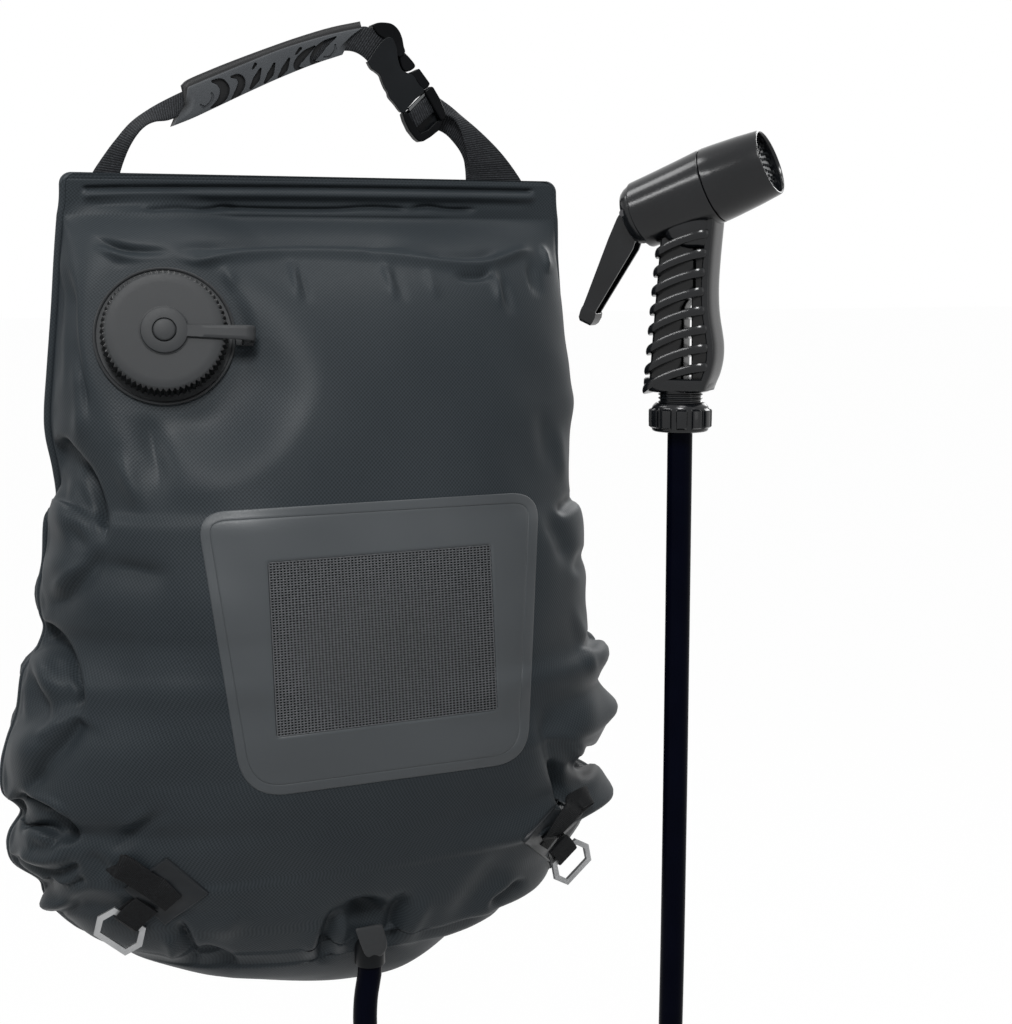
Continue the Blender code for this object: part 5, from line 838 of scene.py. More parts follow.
cap = turned_piece("screw_cap", [
    (0, 20.4), (5, 20.35), (6.2, 20.1), (6.7, 19.6), (6.9, 19), (7, 17.3), (9, 17.1), (16.5, 17.1),
    (30, 17.15), (35, 17.1), (35.7, 16.9), (36.1, 16.5), (36.2, 16), (36.3, 15.2), (36.6, 13), (37.1, 9.5),
    (37.6, 5.5), (37.7, 4.2), (37.6, 3.3), (36.6, 3.2), (36.2, 3.4), (36, 12.8), (0, 12.8)],
    MOUTH, MOUTH_AT, TEETH * 8, teeth, 24)
dress(cap, CAP_PLASTIC, "cap", "cap_plastic", "fill_cap")
# The wall and the outer edge take a much darker copy of the cap's plastic: painted shade.
cap.data.materials.append(moulded("cap_wall_painted_shade", (0.0045, 0.0050, 0.0055), (0.0085, 0.0092, 0.0100), 0.34, 0.06,
                                  0.00002, slow=40.0, gloss=0.30))
CAP_FACE = (0.0362, 0.01585)
cap_centres = np.empty(len(cap.data.polygons) * 3)
cap.data.polygons.foreach_get("center", cap_centres)
cap_heights = (cap_centres.reshape(-1, 3) - MOUTH_AT) @ MOUTH[2]
cap_reach = np.linalg.norm((cap_centres.reshape(-1, 3) - MOUTH_AT) @ MOUTH[:2].T, axis=1)
wall_shade_faces = (cap_heights < CAP_FACE[1]) | (cap_reach > CAP_FACE[0])
cap.data.polygons.foreach_set("material_index", wall_shade_faces.astype(np.int32))

# Cap tether
# A soft moulded ring round the button, with a flat strap that bends over the cap's edge and
# back to its anchor on the neck's lip.
TETHER_ROUTE = np.array([
    (12, 18.1), (20, 18.1), (30, 18.2), (40, 18.3), (47, 18.2), (51.2, 17.8), (53.8, 16), (54.6, 13),
    (53.6, 10.2), (51.2, 8.6), (49, 7.6), (48.2, 5.6), (48.4, 3.6)]) / 1000


def tipped(grid):
    """Adds a ring at each end of a grid of rings, drawn together to its middle."""
    tips = grid.mean(axis=1, keepdims=True).repeat(grid.shape[1], axis=1)
    return np.concatenate([tips[:1], grid, tips[-1:]])


def band(name, path, sides, wide, thick):
    """Flat band along a path: sides holds the width direction at each point. The section is a rounded
    rectangle of 16 points, closed to a point at both ends, with length and width in the UV map."""
    way = np.gradient(path, axis=0)
    way /= np.linalg.norm(way, axis=1)[:, None]
    up = np.cross(way, sides)
    up /= np.linalg.norm(up, axis=1)[:, None]
    wide = np.broadcast_to(wide, len(path))[:, None]
    thick = np.broadcast_to(thick, len(path))[:, None]
    u = np.array([-1, -0.97, -0.9, -0.45, 0, 0.45, 0.9, 0.97, 1, 0.97, 0.9, 0.45, 0, -0.45, -0.9, -0.97])
    v = np.array([0, 0.6, 1, 1, 1, 1, 1, 0.6, 0, -0.6, -1, -1, -1, -1, -1, -0.6])
    grid = (path[:, None, :] + sides[:, None, :] * (u * wide / 2)[..., None]
            + up[:, None, :] * (v * thick / 2)[..., None])
    chart = np.stack([u * wide / 2, walked(path)[:, None] + 0 * u], axis=-1)
    chart = np.concatenate([chart[:1], chart, chart[-1:]])
    made = sheet_mesh(name, tipped(grid), chart, closed=True)
    tidy(made, 50)
    return made


tether_line = through(TETHER_ROUTE, 60)
tether_path = (tether_line[:, :1] * MOUTH[0] + tether_line[:, 1:] * MOUTH[2]) + MOUTH_AT
tether_strap = band("tether_strap", tether_path, np.tile(-MOUTH[1], (60, 1)),
                    np.linspace(0.0076, 0.0104, 60), 0.0017)
tether_ring = turned_piece("tether_ring", [
    (7.3, 17.4), (7.3, 18.8), (7.6, 19.1), (13.4, 19.1), (14.1, 18.9), (14.4, 18.4), (14.6, 17.6),
    (15.2, 17.5), (15.3, 17.2), (7.3, 17.2)], MOUTH, MOUTH_AT, 96)
for made in (tether_strap, tether_ring):
    dress(made, CAP_PLASTIC, "tether", "cap_plastic", "cap_tether")

# Carrying webbing
# Black ribbed webbing, 25 mm wide. It is sewn under the hem at both sides, twists as it rises on
# the left, runs through the grip to the buckle, and comes down doubled on the right.
def ribbed(name, dark, light, pitch):
    """Webbing: ribs across the band by a sine of its length, crossed by finer threads along it."""
    made, tree, shader, where = start_finish(name)
    parts = add_node(tree, "SeparateXYZ", {"Vector": where.outputs["UV"]})
    across, along = (
        math_node(tree, "SINE", math_node(tree, "MULTIPLY", parts.outputs[axis], 2 * math.pi / period))
        for axis, period in (("Y", pitch), ("X", pitch * 0.62)))
    crossed = math_node(tree, "MULTIPLY_ADD", along, 0.35, across)
    rib = add_node(tree, "MapRange", {"From Min": -1.2, "From Max": 1.2, "Value": crossed}).outputs["Result"]
    mottle = mottled(tree, where, 70.0, 900.0)
    relief = add_node(tree, "Bump", {"Distance": 0.00022, "Height": rib})
    tint = blend(tree, rib, (*dark, 1), (*light, 1))
    feed(tree, shader, {"Base Color": blend(tree, mottle["Grain"], tint, (0.25, 0.25, 0.27, 1), "MULTIPLY"),
                        "Roughness": 0.66, "Specular IOR Level": 0.12, "Normal": relief.outputs["Normal"]})
    return made


WEBBING = ribbed("black_webbing", (0.0020, 0.0024, 0.0032), (0.036, 0.039, 0.043), 0.00165)


def strap_between(name, outer, inner, outer_y, inner_y, thick, count=90):
    """Webbing whose two long edges are seen along the outer and inner lines of pixels, each set at its own
    distance in front of the seam plane, so that the band can twist."""
    a, b = through(np.array(outer, float), count), through(np.array(inner, float), count)
    ya = np.interp(np.linspace(0, 1, count), np.linspace(0, 1, len(outer_y)), outer_y)
    yb = np.interp(np.linspace(0, 1, count), np.linspace(0, 1, len(inner_y)), inner_y)
    edge_a, edge_b = on_plane(a[:, 0], a[:, 1], ya), on_plane(b[:, 0], b[:, 1], yb)
    middle = (edge_a + edge_b) / 2
    side = edge_b - edge_a
    wide = np.linalg.norm(side, axis=1)
    return band(name, middle, side / wide[:, None], wide, thick)


left_web = strap_between(
    "webbing_left",
    [(90.5, 186), (91.0, 178), (93.3, 170.8), (105, 153.3), (115, 140), (130, 123.3), (146.7, 110.8),
     (163.3, 100.8), (181.7, 91.7), (200, 84)],
    [(118.5, 186), (119.5, 178), (120.5, 171.7), (125, 158.3), (130, 146.7), (136.7, 135), (145, 126),
     (155, 121.5), (171, 119.5), (196, 108)],
    [0.0, 0.0, 0.0, 0.001, 0.004, 0.006, 0.005, 0.003, 0.001, 0.0],
    [0.0, 0.0, 0.0, -0.002, -0.006, -0.009, -0.007, -0.003, -0.001, 0.0], 0.0016)
top_web = strap_between(
    "webbing_top",
    [(196, 84), (240, 68), (290, 50), (340, 33), (362, 26.5), (372, 28.5), (381, 31), (388, 37)],
    [(200, 108), (240, 90), (290, 70), (330, 55), (343, 51), (354, 52), (363, 57), (369, 63)],
    [0.0, 0.0, 0.0, 0.0, -0.0005, -0.0010, -0.0015, -0.0015],
    [0.0, 0.0, 0.0, 0.0, -0.0005, -0.0015, -0.0020, -0.0020], 0.0018)
right_web = strap_between(
    "webbing_right_outer",
    [(432, 92), (440, 98.8), (450, 106.3), (461, 116), (473.8, 126.3), (486.3, 137.5), (497.5, 148.8),
     (508.8, 162.5), (518.8, 176.9), (524, 186)],
    [(428, 112), (440, 114), (452, 118), (459, 127), (463, 138), (466, 150), (468.5, 163), (469.5, 172),
     (470, 178), (470, 186)],
    [0.006, 0.005, 0.003, 0.001, 0.0, -0.001, -0.001, -0.001, 0.0, 0.0],
    [0.001, -0.001, -0.003, -0.004, -0.005, -0.005, -0.004, -0.003, -0.001, 0.0], 0.0016)
right_under = strap_between(
    "webbing_right_inner",
    [(436, 104), (446, 109), (455, 116), (462, 128), (467, 142), (471, 156), (473, 168), (474, 178),
     (474, 186)],
    [(430, 128), (438.8, 130.6), (446.3, 135), (453, 142), (459.5, 150.5), (463.5, 159), (465, 168),
     (465.6, 178), (465.6, 186)],
    [0.004, 0.003, 0.001, -0.001, -0.002, -0.002, -0.001, 0.0, 0.001],
    [0.008, 0.007, 0.006, 0.005, 0.004, 0.003, 0.003, 0.002, 0.002], 0.0015)
for made, node in ((left_web, "webbing_main"), (top_web, "webbing_main"), (right_web, "webbing_right"),
                   (right_under, "webbing_right")):
    dress(made, WEBBING, "root", "webbing", node)

# Grip
# A soft rubber sleeve folded over the webbing: a rounded back on top, painted near black as shade, a
# flatter front and slanted ends. Its curved openings are recesses with painted shade inside, and don't go
# through.
face_foot = through(np.array([(172.5, 126.2), (192, 118.5), (213.3, 108.6), (246.7, 92.8), (280, 77.8),
                              (313.3, 64.4), (342.5, 54.7)]), 420)
face_head = through(np.array([(188.3, 87.5), (210, 78.4), (246.7, 63.3), (280, 50), (313, 39.6), (340, 32.6),
                              (361.7, 28.3)]), 420)
ridge = through(np.array([(180.5, 85.5), (187.5, 79.6), (208, 70.6), (230, 61.7), (263.3, 49.2),
                          (296.7, 37.5), (330, 27.5), (360, 21.3)]), 420)
left_end = through(np.array([(172.5, 126.2), (180, 120.8), (188.3, 114.2), (193.3, 107.5), (195, 100),
                             (194.2, 95), (190.8, 90.8), (188.3, 87.5)]), 80)
right_end = through(np.array([(342.5, 54.7), (339.6, 51.5), (340, 47.5), (345.5, 41.5), (353, 34.5),
                              (361.7, 28.3)]), 80)
u = np.linspace(0, 1, 420)[None, :, None]
v = np.linspace(0, 1, 80)[:, None, None]
face_px = ((1 - v) * face_foot[None] + v * face_head[None]
           + (1 - u) * left_end[:, None] + u * right_end[:, None]
           - (1 - u) * (1 - v) * face_foot[0] - u * (1 - v) * face_foot[-1]
           - (1 - u) * v * face_head[0] - u * v * face_head[-1])
OPENINGS = [
    ([(213, 81.5), (220, 82.5), (224.5, 88), (224, 95), (219.5, 102), (211.5, 107.6)],
     (1.2, 3.6, 4.0, 3.4, 2.2, 0.5), 1),
    ([(232, 77), (238.5, 77), (241.8, 83), (237.5, 93.3), (230.6, 101)], (1.0, 2.8, 3.0, 2.4, 0.5), 1),
    ([(260.5, 69), (256.5, 79), (250.8, 88.5)], (0.8, 2.7, 1.0), 1),
    ([(255.5, 64.2), (253, 68.6)], (1.1, 0.7), 1),
    ([(274.3, 63.8), (270.5, 74), (265, 82.8)], (0.8, 2.5, 0.9), 1),
    ([(289, 58.8), (284.6, 69.2), (278.7, 77.8)], (0.8, 2.5, 0.9), 1),
    ([(314.5, 46.4), (305, 54), (297.5, 63), (297.5, 68.8), (304, 68.0)], (0.6, 2.4, 3.0, 2.4, 0.5), 1),
    ([(300.5, 48.5), (296.3, 53.9)], (1.1, 0.7), 1),
    ([(335.5, 37.2), (323.3, 45.4), (314.6, 56), (313.2, 63), (319.5, 61.8)], (0.6, 2.6, 3.8, 2.8, 0.5), 1),
    ([(200.8, 105), (205, 107), (210.8, 102.5), (213, 96.7), (211.7, 93.3)], (0.6, 0.9, 1.1, 1.0, 0.6), 0.35),
    ([(324.2, 57.2), (330, 56.7), (335, 50.8), (335.3, 45)], (0.6, 0.9, 1.1, 0.6), 0.35)]
opened = np.zeros(face_px.shape[:2])
for line, half, depth in OPENINGS:
    far, along = from_line(face_px[..., 0], face_px[..., 1], line)
    reach = np.interp(along, np.linspace(0, 1, len(half)), half) * 1.22
    opened = np.maximum(opened, depth * smooth((reach - np.abs(far)) / 0.55 + 0.5))
bulge = np.sin(v[..., 0] * math.pi) ** 0.5 * 0.0006
FACE_Y, SLEEVE_DEPTH, FOOT_DEPTH, OPENING_DEPTH = -0.0035, 0.0070, 0.0066, 0.0022
face_grid = on_plane(face_px[..., 0], face_px[..., 1], FACE_Y - bulge + opened * OPENING_DEPTH)
back_share = np.linspace(0, 1, 14)[1:]
shoulder = []
for k in back_share:
    a = k * math.pi / 2
    edge = face_head * (1 - math.sin(a)) + ridge * math.sin(a)
    shoulder.append(on_plane(edge[:, 0], edge[:, 1], FACE_Y * math.cos(a) + 0.0002))
ridge_3d = shoulder[-1]
head_3d = on_plane(face_head[:, 0], face_head[:, 1], FACE_Y)
foot_3d = on_plane(face_foot[:, 0], face_foot[:, 1], FACE_Y)
behind_head = head_3d + (0, SLEEVE_DEPTH, 0)
over = []
for k in back_share:
    a = k * math.pi / 2
    over.append(ridge_3d * math.cos(a) + behind_head * (1 - math.cos(a)) + (0, 0.0005 * math.sin(a), 0))
down = [behind_head * (1 - k) + (foot_3d + (0, FOOT_DEPTH, 0)) * k for k in np.linspace(0, 1, 16)[1:]]
under = [foot_3d + (0, FOOT_DEPTH * (1 - k) + 0.0003 * k, 0) for k in (0.15, 0.5, 0.85)]
sleeve_grid = np.concatenate([face_grid, np.array(shoulder), np.array(over), np.array(down), np.array(under)])
sleeve_ends = sleeve_grid[:, [0, -1]].mean(axis=0)
sleeve_grid = np.concatenate([np.broadcast_to(sleeve_ends[0], (len(sleeve_grid), 1, 3)), sleeve_grid,
                              np.broadcast_to(sleeve_ends[1], (len(sleeve_grid), 1, 3))], axis=1)
sleeve = sheet_mesh("grip_cover", np.concatenate([sleeve_grid, sleeve_grid[:1]]))
# Mark of painted shade: 1 over the sleeve's back, and on its front the recesses' share.
shade_paint_layer = sleeve.data.attributes.new("shade_paint", "FLOAT", "POINT")
shade_paint_values = np.ones((len(sleeve_grid) + 1, sleeve_grid.shape[1]))
shade_paint_values[:80, 1:-1] = opened
shade_paint_values[-1, 1:-1] = opened[0]
shade_paint_layer.data.foreach_set("value", shade_paint_values.reshape(-1).astype(np.float32))
rubber = moulded("grip_rubber_soft", (0.034, 0.037, 0.041), (0.046, 0.050, 0.054), 0.50, 0.06, 0.00003,
                 slow=30.0, fine=2200.0, gloss=0.20)
tree = rubber.node_tree
shader = tree.nodes["Principled BSDF"]
# Painted shade: where marked, the rubber's colour goes to near black.
mark = add_node(tree, "Attribute", attribute_name="shade_paint")
shade_paint_share = add_node(tree, "MapRange", {"From Min": 0.25, "From Max": 0.9, "Value": mark.outputs["Fac"]})
plain_rubber = shader.inputs["Base Color"].links[0].from_socket
painted_shade_colour = blend(tree, shade_paint_share.outputs["Result"], plain_rubber, (0.0016, 0.0019, 0.0024, 1))
feed(tree, shader, {"Base Color": painted_shade_colour})
dress(sleeve, rubber, "root", "grip_rubber", "grip_sleeve")
tidy(sleeve, 40)

# Buckle
# A side-release buckle in black nylon: the flat socket takes the webbing from the grip, the
# tongue's sprung prong shows in the socket's side window, and its frame holds the right webbing.
BLACK_PLASTIC = moulded("black_gloss", (0.0026, 0.0030, 0.0038), (0.0050, 0.0056, 0.0066), 0.19, 0.03,
                        0.000008, slow=24.0, gloss=0.33)
NYLON = moulded("black_nylon", (0.0040, 0.0048, 0.0056), (0.0066, 0.0076, 0.0088), 0.34, 0.05, 0.00002,
                slow=26.0, gloss=0.08)
BUCKLE_BLACK = moulded("buckle_black", (0.0012, 0.0014, 0.0018), (0.0027, 0.0030, 0.0036), 0.28, 0.05,
                       0.00002, slow=26.0, gloss=0.05)


def round_edges(made, width, degrees=40):
    """Bevel of the given width on every edge sharper than the given angle."""
    rounder = made.modifiers.new("rounded_edges", "BEVEL")
    rounder.width = width
    rounder.segments = 3
    rounder.limit_method = "ANGLE"
    rounder.angle_limit = math.radians(degrees)


def slab(name, outline, front_y, back_y, edge, material, node, curved=True, body="root"):
    """Flat moulded part: its outline in pixels, set at front_y, carried straight back to back_y, with every
    edge rounded by edge."""
    line = np.array(outline, float)
    if curved:
        line = through(np.vstack([line, line[:1]]), len(line) * 5)[:-1]
    face = on_plane(line[:, 0], line[:, 1], front_y)
    count = len(face)
    index = np.arange(count)
    walls = np.stack([index, np.roll(index, -1), np.roll(index, -1) + count, index + count], axis=1)
    mesh = bpy.data.meshes.new(name)
    mesh.from_pydata(np.vstack([face, face + (0, back_y - front_y, 0)]), [],
                     [list(index[::-1]), list(index + count)] + walls.tolist())
    made = link_new(name, mesh)
    tidy(made, 30)
    round_edges(made, edge)
    dress(made, material, body, "black_plastic", node)


SOCKET_LINE = [
    (367.5, 61.3), (371.3, 68.1), (375.6, 71.3), (380, 75), (381.9, 80), (385, 87.5), (388.1, 92.5),
    (389.3, 97), (395, 103.8), (402.5, 113.1), (409, 107), (416, 99), (424.6, 91.4), (419, 84), (413, 75),
    (407, 72.5), (402, 69.5), (398.5, 60), (396.5, 47), (391, 37), (381, 42)]
WALL_LINE = [
    (368.5, 61.3), (372.3, 68.1), (376.6, 71.3), (381, 75), (382.9, 80), (386, 87.5), (389.1, 92.5),
    (390.3, 97), (396, 103.8), (403, 112), (408, 107), (400, 96), (394, 88), (389, 78), (384, 68), (379, 60)]
slab("buckle_shell", SOCKET_LINE, -0.0046, -0.0033, 0.0005, NYLON, "buckle_socket")
slab("buckle_shell_back", SOCKET_LINE, 0.0027, 0.0046, 0.0006, NYLON, "buckle_socket")
slab("buckle_shell_wall", WALL_LINE, -0.0035, 0.0029, 0.0004, NYLON, "buckle_socket")
slab("buckle_arm", [
    (372, 25), (378, 22.6), (385, 22.3), (392.5, 23.8), (398.8, 29.4), (402.5, 37.5), (404.2, 46.3),
    (405.5, 52), (400.5, 57), (394, 53), (391, 46), (386, 39.5), (378, 34)],
    -0.0042, 0.0046, 0.0010, BUCKLE_BLACK, "buckle_socket")
slab("buckle_prong", [
    (399.2, 51.2), (402.4, 50.8), (406, 53.5), (411, 58.8), (415.6, 65.6), (412, 70), (406.4, 71.6),
    (403, 69), (400.6, 62)], -0.0030, 0.0022, 0.0012, BUCKLE_BLACK, "buckle_prong_upper", body="prong_upper")
slab("buckle_shoulder", [(410, 72.5), (415, 70.6), (419.6, 68.2), (430.6, 83.5), (429, 86.5), (423.2, 90.4)],
     -0.0040, 0.0037, 0.0010, BUCKLE_BLACK, "buckle_tongue", False)
slab("buckle_side_bar", [
    (424.5, 91.2), (430, 86.6), (433.5, 86.3), (440, 97.5), (444.6, 108), (446.4, 115), (445, 119.5),
    (441.5, 121)],
    -0.0044, 0.0037, 0.0012, BUCKLE_BLACK, "buckle_tongue", False)
slab("buckle_foot_bar", [
    (441.5, 120), (443.5, 122), (439, 130.6), (431, 137), (424, 141.2), (420, 141.9), (416, 138.8),
    (409.5, 130.5), (405, 121), (402.8, 113.5), (406.5, 110.5), (412, 119), (418, 129.5), (421, 133),
    (428, 129.5), (436, 121.5)],
    -0.0037, 0.0037, 0.0010, BUCKLE_BLACK, "buckle_tongue", False)
# A light grey bar along the slot's edge is a painted highlight.
SLOT_PAINTED_HIGHLIGHT = moulded("slot_painted_highlight", (0.075, 0.078, 0.080), (0.110, 0.113, 0.116), 0.42, 0.06, 0.00002,
                     slow=40.0)
slab("buckle_slot_edge", [(408.7, 108.6), (423.6, 93.6), (425.2, 95.6), (410.3, 111.4)],
     -0.0040, -0.0005, 0.0004, SLOT_PAINTED_HIGHLIGHT, "buckle_tongue", False)
slab("buckle_floor", [(405, 113), (424, 94), (441, 119), (421, 136)],
     0.0016, 0.0034, 0.0004, NYLON, "buckle_tongue", False)
wrap = strap_between(
    "webbing_turn",
    [(405.5, 116.5), (408.5, 113), (417, 104.5), (425.5, 96.5), (429, 95)],
    [(411.5, 132), (415, 129), (424, 121), (432.5, 113), (435, 110)],
    [0.0005, -0.0030, -0.0036, -0.0030, 0.0005], [0.0005, -0.0030, -0.0036, -0.0030, 0.0005], 0.0014)
dress(wrap, WEBBING, "root", "webbing", "webbing_wrap")

# Tie-downs
# A square film patch welded cornerwise at each lower corner carries a folded webbing tab and a
# webbing loop, and the loop holds a six-sided steel ring.
PATCH_FILM = moulded("patch_film", (0.0080, 0.0095, 0.0110), (0.0125, 0.0143, 0.0162), 0.42, 0.06, 0.00002,
                     slow=25.0, fine=1500.0, gloss=0.16)
TIE_WEBBING = ribbed("tie_webbing", (0.0022, 0.0026, 0.0032), (0.0085, 0.0092, 0.0102), 0.0010)


def laid_strap(name, way, wide, thick, count=70):
    """Webbing over the bag: way lists pixel x, pixel y and height above the sheet, joined smoothly."""
    line = through(np.array(way, float), count)
    path, normal = on_bag(line[:, 0], line[:, 1], line[:, 2])
    along = np.gradient(path, axis=0)
    side = np.cross(along, normal)
    side /= np.linalg.norm(side, axis=1)[:, None]
    steady = side[count // 4]
    side = np.where((side @ steady)[:, None] < 0, -side, side)
    side = side + steady * 0.6
    side /= np.linalg.norm(side, axis=1)[:, None]
    return band(name, path, side, wide, thick)


def route_strap(name, route, sides, wide, thick):
    """Webbing along a typed route in millimetres, with the width direction typed at each point."""
    both = through(np.hstack([np.array(route, float) / 1000 + (0, 0, HEM_TOP), np.array(sides, float)]), 90)
    side = both[:, 3:] / np.linalg.norm(both[:, 3:], axis=1)[:, None]
    return band(name, both[:, :3], side, wide, thick)


LEFT_LOOP = [
    (-145.1, -85.5, -448.7), (-150.4, -80.3, -453.9), (-154.8, -74.5, -459.9), (-156.7, -71.4, -463.1),
    (-157.5, -70.7, -464.3), (-158.5, -70.7, -465.5), (-159.5, -71.3, -466.6), (-160.3, -72.6, -467.2),
    (-160.7, -74.1, -467.3), (-160.6, -75.6, -466.8), (-160.1, -76.8, -465.8), (-159.3, -77.4, -464.6),
    (-157.5, -78.4, -462.4), (-153.5, -81.7, -457.6), (-149, -85.6, -452.4)]
LEFT_SIDES = [(-0.658, 0.043, 0.752), (-0.692, 0.075, 0.718), (-0.746, 0.140, 0.651)] \
    + [(-0.767, 0.171, 0.619)] * 12
RIGHT_LOOP = [
    (128.9, -93.7, -447), (131.9, -91.4, -449.8), (134.5, -88.9, -453), (135.6, -87.7, -454.8),
    (136.5, -87.2, -456), (137.4, -87.4, -457.3), (138.3, -88.3, -458.2), (138.9, -89.7, -458.8),
    (139.1, -91.2, -458.7), (138.8, -92.7, -458.1), (138.2, -93.7, -457), (137.3, -94, -455.8),
    (135.2, -95, -453), (132, -96.6, -449.2), (129, -97.5, -446.2)]
RIGHT_SIDES = [(-0.662, 0.001, -0.749), (-0.701, -0.027, -0.712), (-0.768, -0.087, -0.634)] \
    + [(-0.796, -0.116, -0.594)] * 12
PATCH_SHARES = np.array([-0.02, 0.0, 0.012, 0.03, 0.05, 0.08, 0.2, 0.35, 0.5, 0.65, 0.8, 0.92, 0.95, 0.97,
                         0.988, 1.0, 1.02])
PATCH_LIFTS = np.array([-0.9, 0.1, 1.5, 1.9, 1.7, 1.25, 1.2, 1.2, 1.2, 1.2, 1.2, 1.25, 1.7, 1.9, 1.5, 0.1,
                        -0.9]) / 1000
for label, corners, tab_way, loop, sides in (
        ("left", [(124, 888), (167, 857), (209.5, 892.5), (165.5, 924)],
         [(174, 901, 0.0021), (160, 890, 0.0024), (146, 879, 0.0034), (132, 868, 0.0052), (124, 863, 0.0066),
          (120, 862, 0.0052), (124, 864, 0.0032), (134, 871, 0.0024), (144, 879, 0.0018)],
         LEFT_LOOP, LEFT_SIDES),
        ("right", [(559, 798.5), (592, 818), (556, 868), (522, 841)],
         [(541, 845, 0.0021), (549, 834, 0.0026), (560, 820, 0.0040), (571, 808, 0.0060), (578, 801, 0.0080),
          (583, 799, 0.0062), (580, 802, 0.0038), (572, 810, 0.0026), (564, 818, 0.0020)],
         RIGHT_LOOP, RIGHT_SIDES)):
    c = np.array(corners, float)
    uu, vv = np.meshgrid(PATCH_SHARES, PATCH_SHARES)
    uu3, vv3 = uu[..., None], vv[..., None]
    patch_px = (c[0] * (1 - uu3) + c[1] * uu3) * (1 - vv3) + (c[3] * (1 - uu3) + c[2] * uu3) * vv3
    lift_u, lift_v = np.meshgrid(PATCH_LIFTS, PATCH_LIFTS)
    least = np.minimum(lift_u, lift_v)
    rim_lift = np.where(least < 0.0012, least, np.maximum(lift_u, lift_v))
    patch_grid, _ = on_bag(patch_px[..., 0], patch_px[..., 1], rim_lift)
    patch = sheet_mesh("patch_" + label, patch_grid, cloth_map(patch_grid))
    finer = patch.modifiers.new("softened", "SUBSURF")
    finer.levels = finer.render_levels = 2
    face_out(patch)
    dress(patch, PATCH_FILM, "root", "coated_fabric", "tie_patch_" + label)
    tab = laid_strap("tab_" + label, tab_way, 0.0165 if label == "left" else 0.0140, 0.0017)
    dress(tab, TIE_WEBBING, "root", "webbing", "tie_tab_" + label)
    ring_loop = route_strap("loop_" + label, loop, sides, 0.0170, 0.0014)
    dress(ring_loop, TIE_WEBBING, "root", "webbing", "tie_loop_" + label)
RING_STEEL = moulded("dull_steel", (0.26, 0.265, 0.27), (0.36, 0.365, 0.37), 0.42, 0.08, 0.00003, slow=60.0,
                     fine=900.0, metallic=0.85)


def refinish(name, finish):
    """Gives a kept CAD node its own material."""
    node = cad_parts[name]
    node.data.materials.clear()
    node.data.materials.append(finish)
    return node


for label in ("left", "right"):
    round_edges(refinish("hex_ring_" + label, RING_STEEL), 0.0004, 35)

# Outlet
# A grey moulded hood welded under the front of the bag, its flat tongue pointing down over the
# place where the hose is pushed on.
OUTLET_AT = np.array([-0.002, -0.083, -0.5815])
hood = turned_piece("outlet_cuff", [
    (8.6, -4.4), (9.8, -4.5), (10.1, -4), (10.1, 12), (9.4, 16), (7.5, 18), (4.8, 18.8), (4.8, 3),
    (8.6, 2.6), (8.6, -4.4)],
    np.eye(3), OUTLET_AT, 64)
tongue_line = rounded([(354.8, 928.5), (382.5, 923.5), (388.5, 948), (376, 961.5), (366, 957), (361, 946)],
                      (2.5, 2.5, 8, 7, 5, 6), 14)
tongue_middle = tongue_line.mean(axis=0)
TONGUE_RINGS = np.array([(1.0, 0.0008), (1.0, -0.0006), (0.985, -0.0012), (0.94, -0.0016), (0.8, -0.0018),
                         (0.5, -0.0019), (0.001, -0.0019)])
tongue_px = tongue_middle + (tongue_line - tongue_middle) * TONGUE_RINGS[:, :1, None]
lean = (tongue_px[..., 1] - 924) / 37.0
tongue_y = -0.0928 - 0.0012 * np.sin(np.clip(lean, 0, 1) * math.pi) + 0.0030 * lean ** 2 + TONGUE_RINGS[:, 1:]
tongue_grid = on_plane(tongue_px[..., 0], tongue_px[..., 1], tongue_y)
tongue = sheet_mesh("outlet_tongue", tipped(tongue_grid)[:-1], closed=True)
tidy(tongue, 40)
for made, finish in ((hood, NYLON), (tongue, CAP_PLASTIC)):
    dress(made, finish, "root", "cap_plastic", "outlet_hood")

# Union nut and neck
# The hose ends in a ribbed union nut. It screws on to the threaded neck that stands out under
# the handset's grip.
HAND = np.array([(0.65869, -0.75241, 0.0), (0.75241, 0.65869, 0.0), (0.0, 0.0, 1.0)])
HAND_AT = np.array([0.1862, -0.1553, -0.2339])


def nut_ribs(angle, height):
    """Twelve flat-topped ribs with soft flanks, standing 2 mm out between the nut's foot and shoulder."""
    wave = np.abs(((angle * 12 / (2 * math.pi) + 0.25) % 1) * 2 - 1)
    share = smooth((0.0150 - height) / 0.0012) * smooth((height - 0.0022) / 0.0010)
    return 0.0020 * smooth((wave - 0.30) / 0.14) * share


nut = turned_piece("ribbed_nut", [
    (9, 0), (16.2, 0), (17.4, 0.4), (18, 1.2), (18.1, 2.2), (18.1, 2.8), (18.1, 3.4), (18.2, 8),
    (18.2, 13.4), (18.2, 14), (18.1, 14.6), (18, 15.2), (17.8, 16), (17.2, 16.8), (16.4, 17.6),
    (15.7, 18.2), (15, 18.2), (14.6, 17.6), (14.6, 10), (9, 9), (9, 0)], HAND, HAND_AT, 288, nut_ribs, 30)
dress(nut, BLACK_PLASTIC, "nut", "black_plastic", "union_nut")
neck_outline = [(7.2, 10.8), (12.8, 10.8), (13, 17)]
for foot in (18, 20.4, 22.8):
    neck_outline += [(13.2, foot), (14.2, foot + 0.6), (14.2, foot + 1), (13.2, foot + 1.6)]
neck_outline += [(13.2, 25.2), (15, 25.5), (15.1, 26.2), (15.1, 27), (13.6, 27.4), (13.6, 30), (7.2, 30),
                 (7.2, 10.8)]
thread_neck = turned_piece("threaded_neck", neck_outline, HAND, HAND_AT, 96)

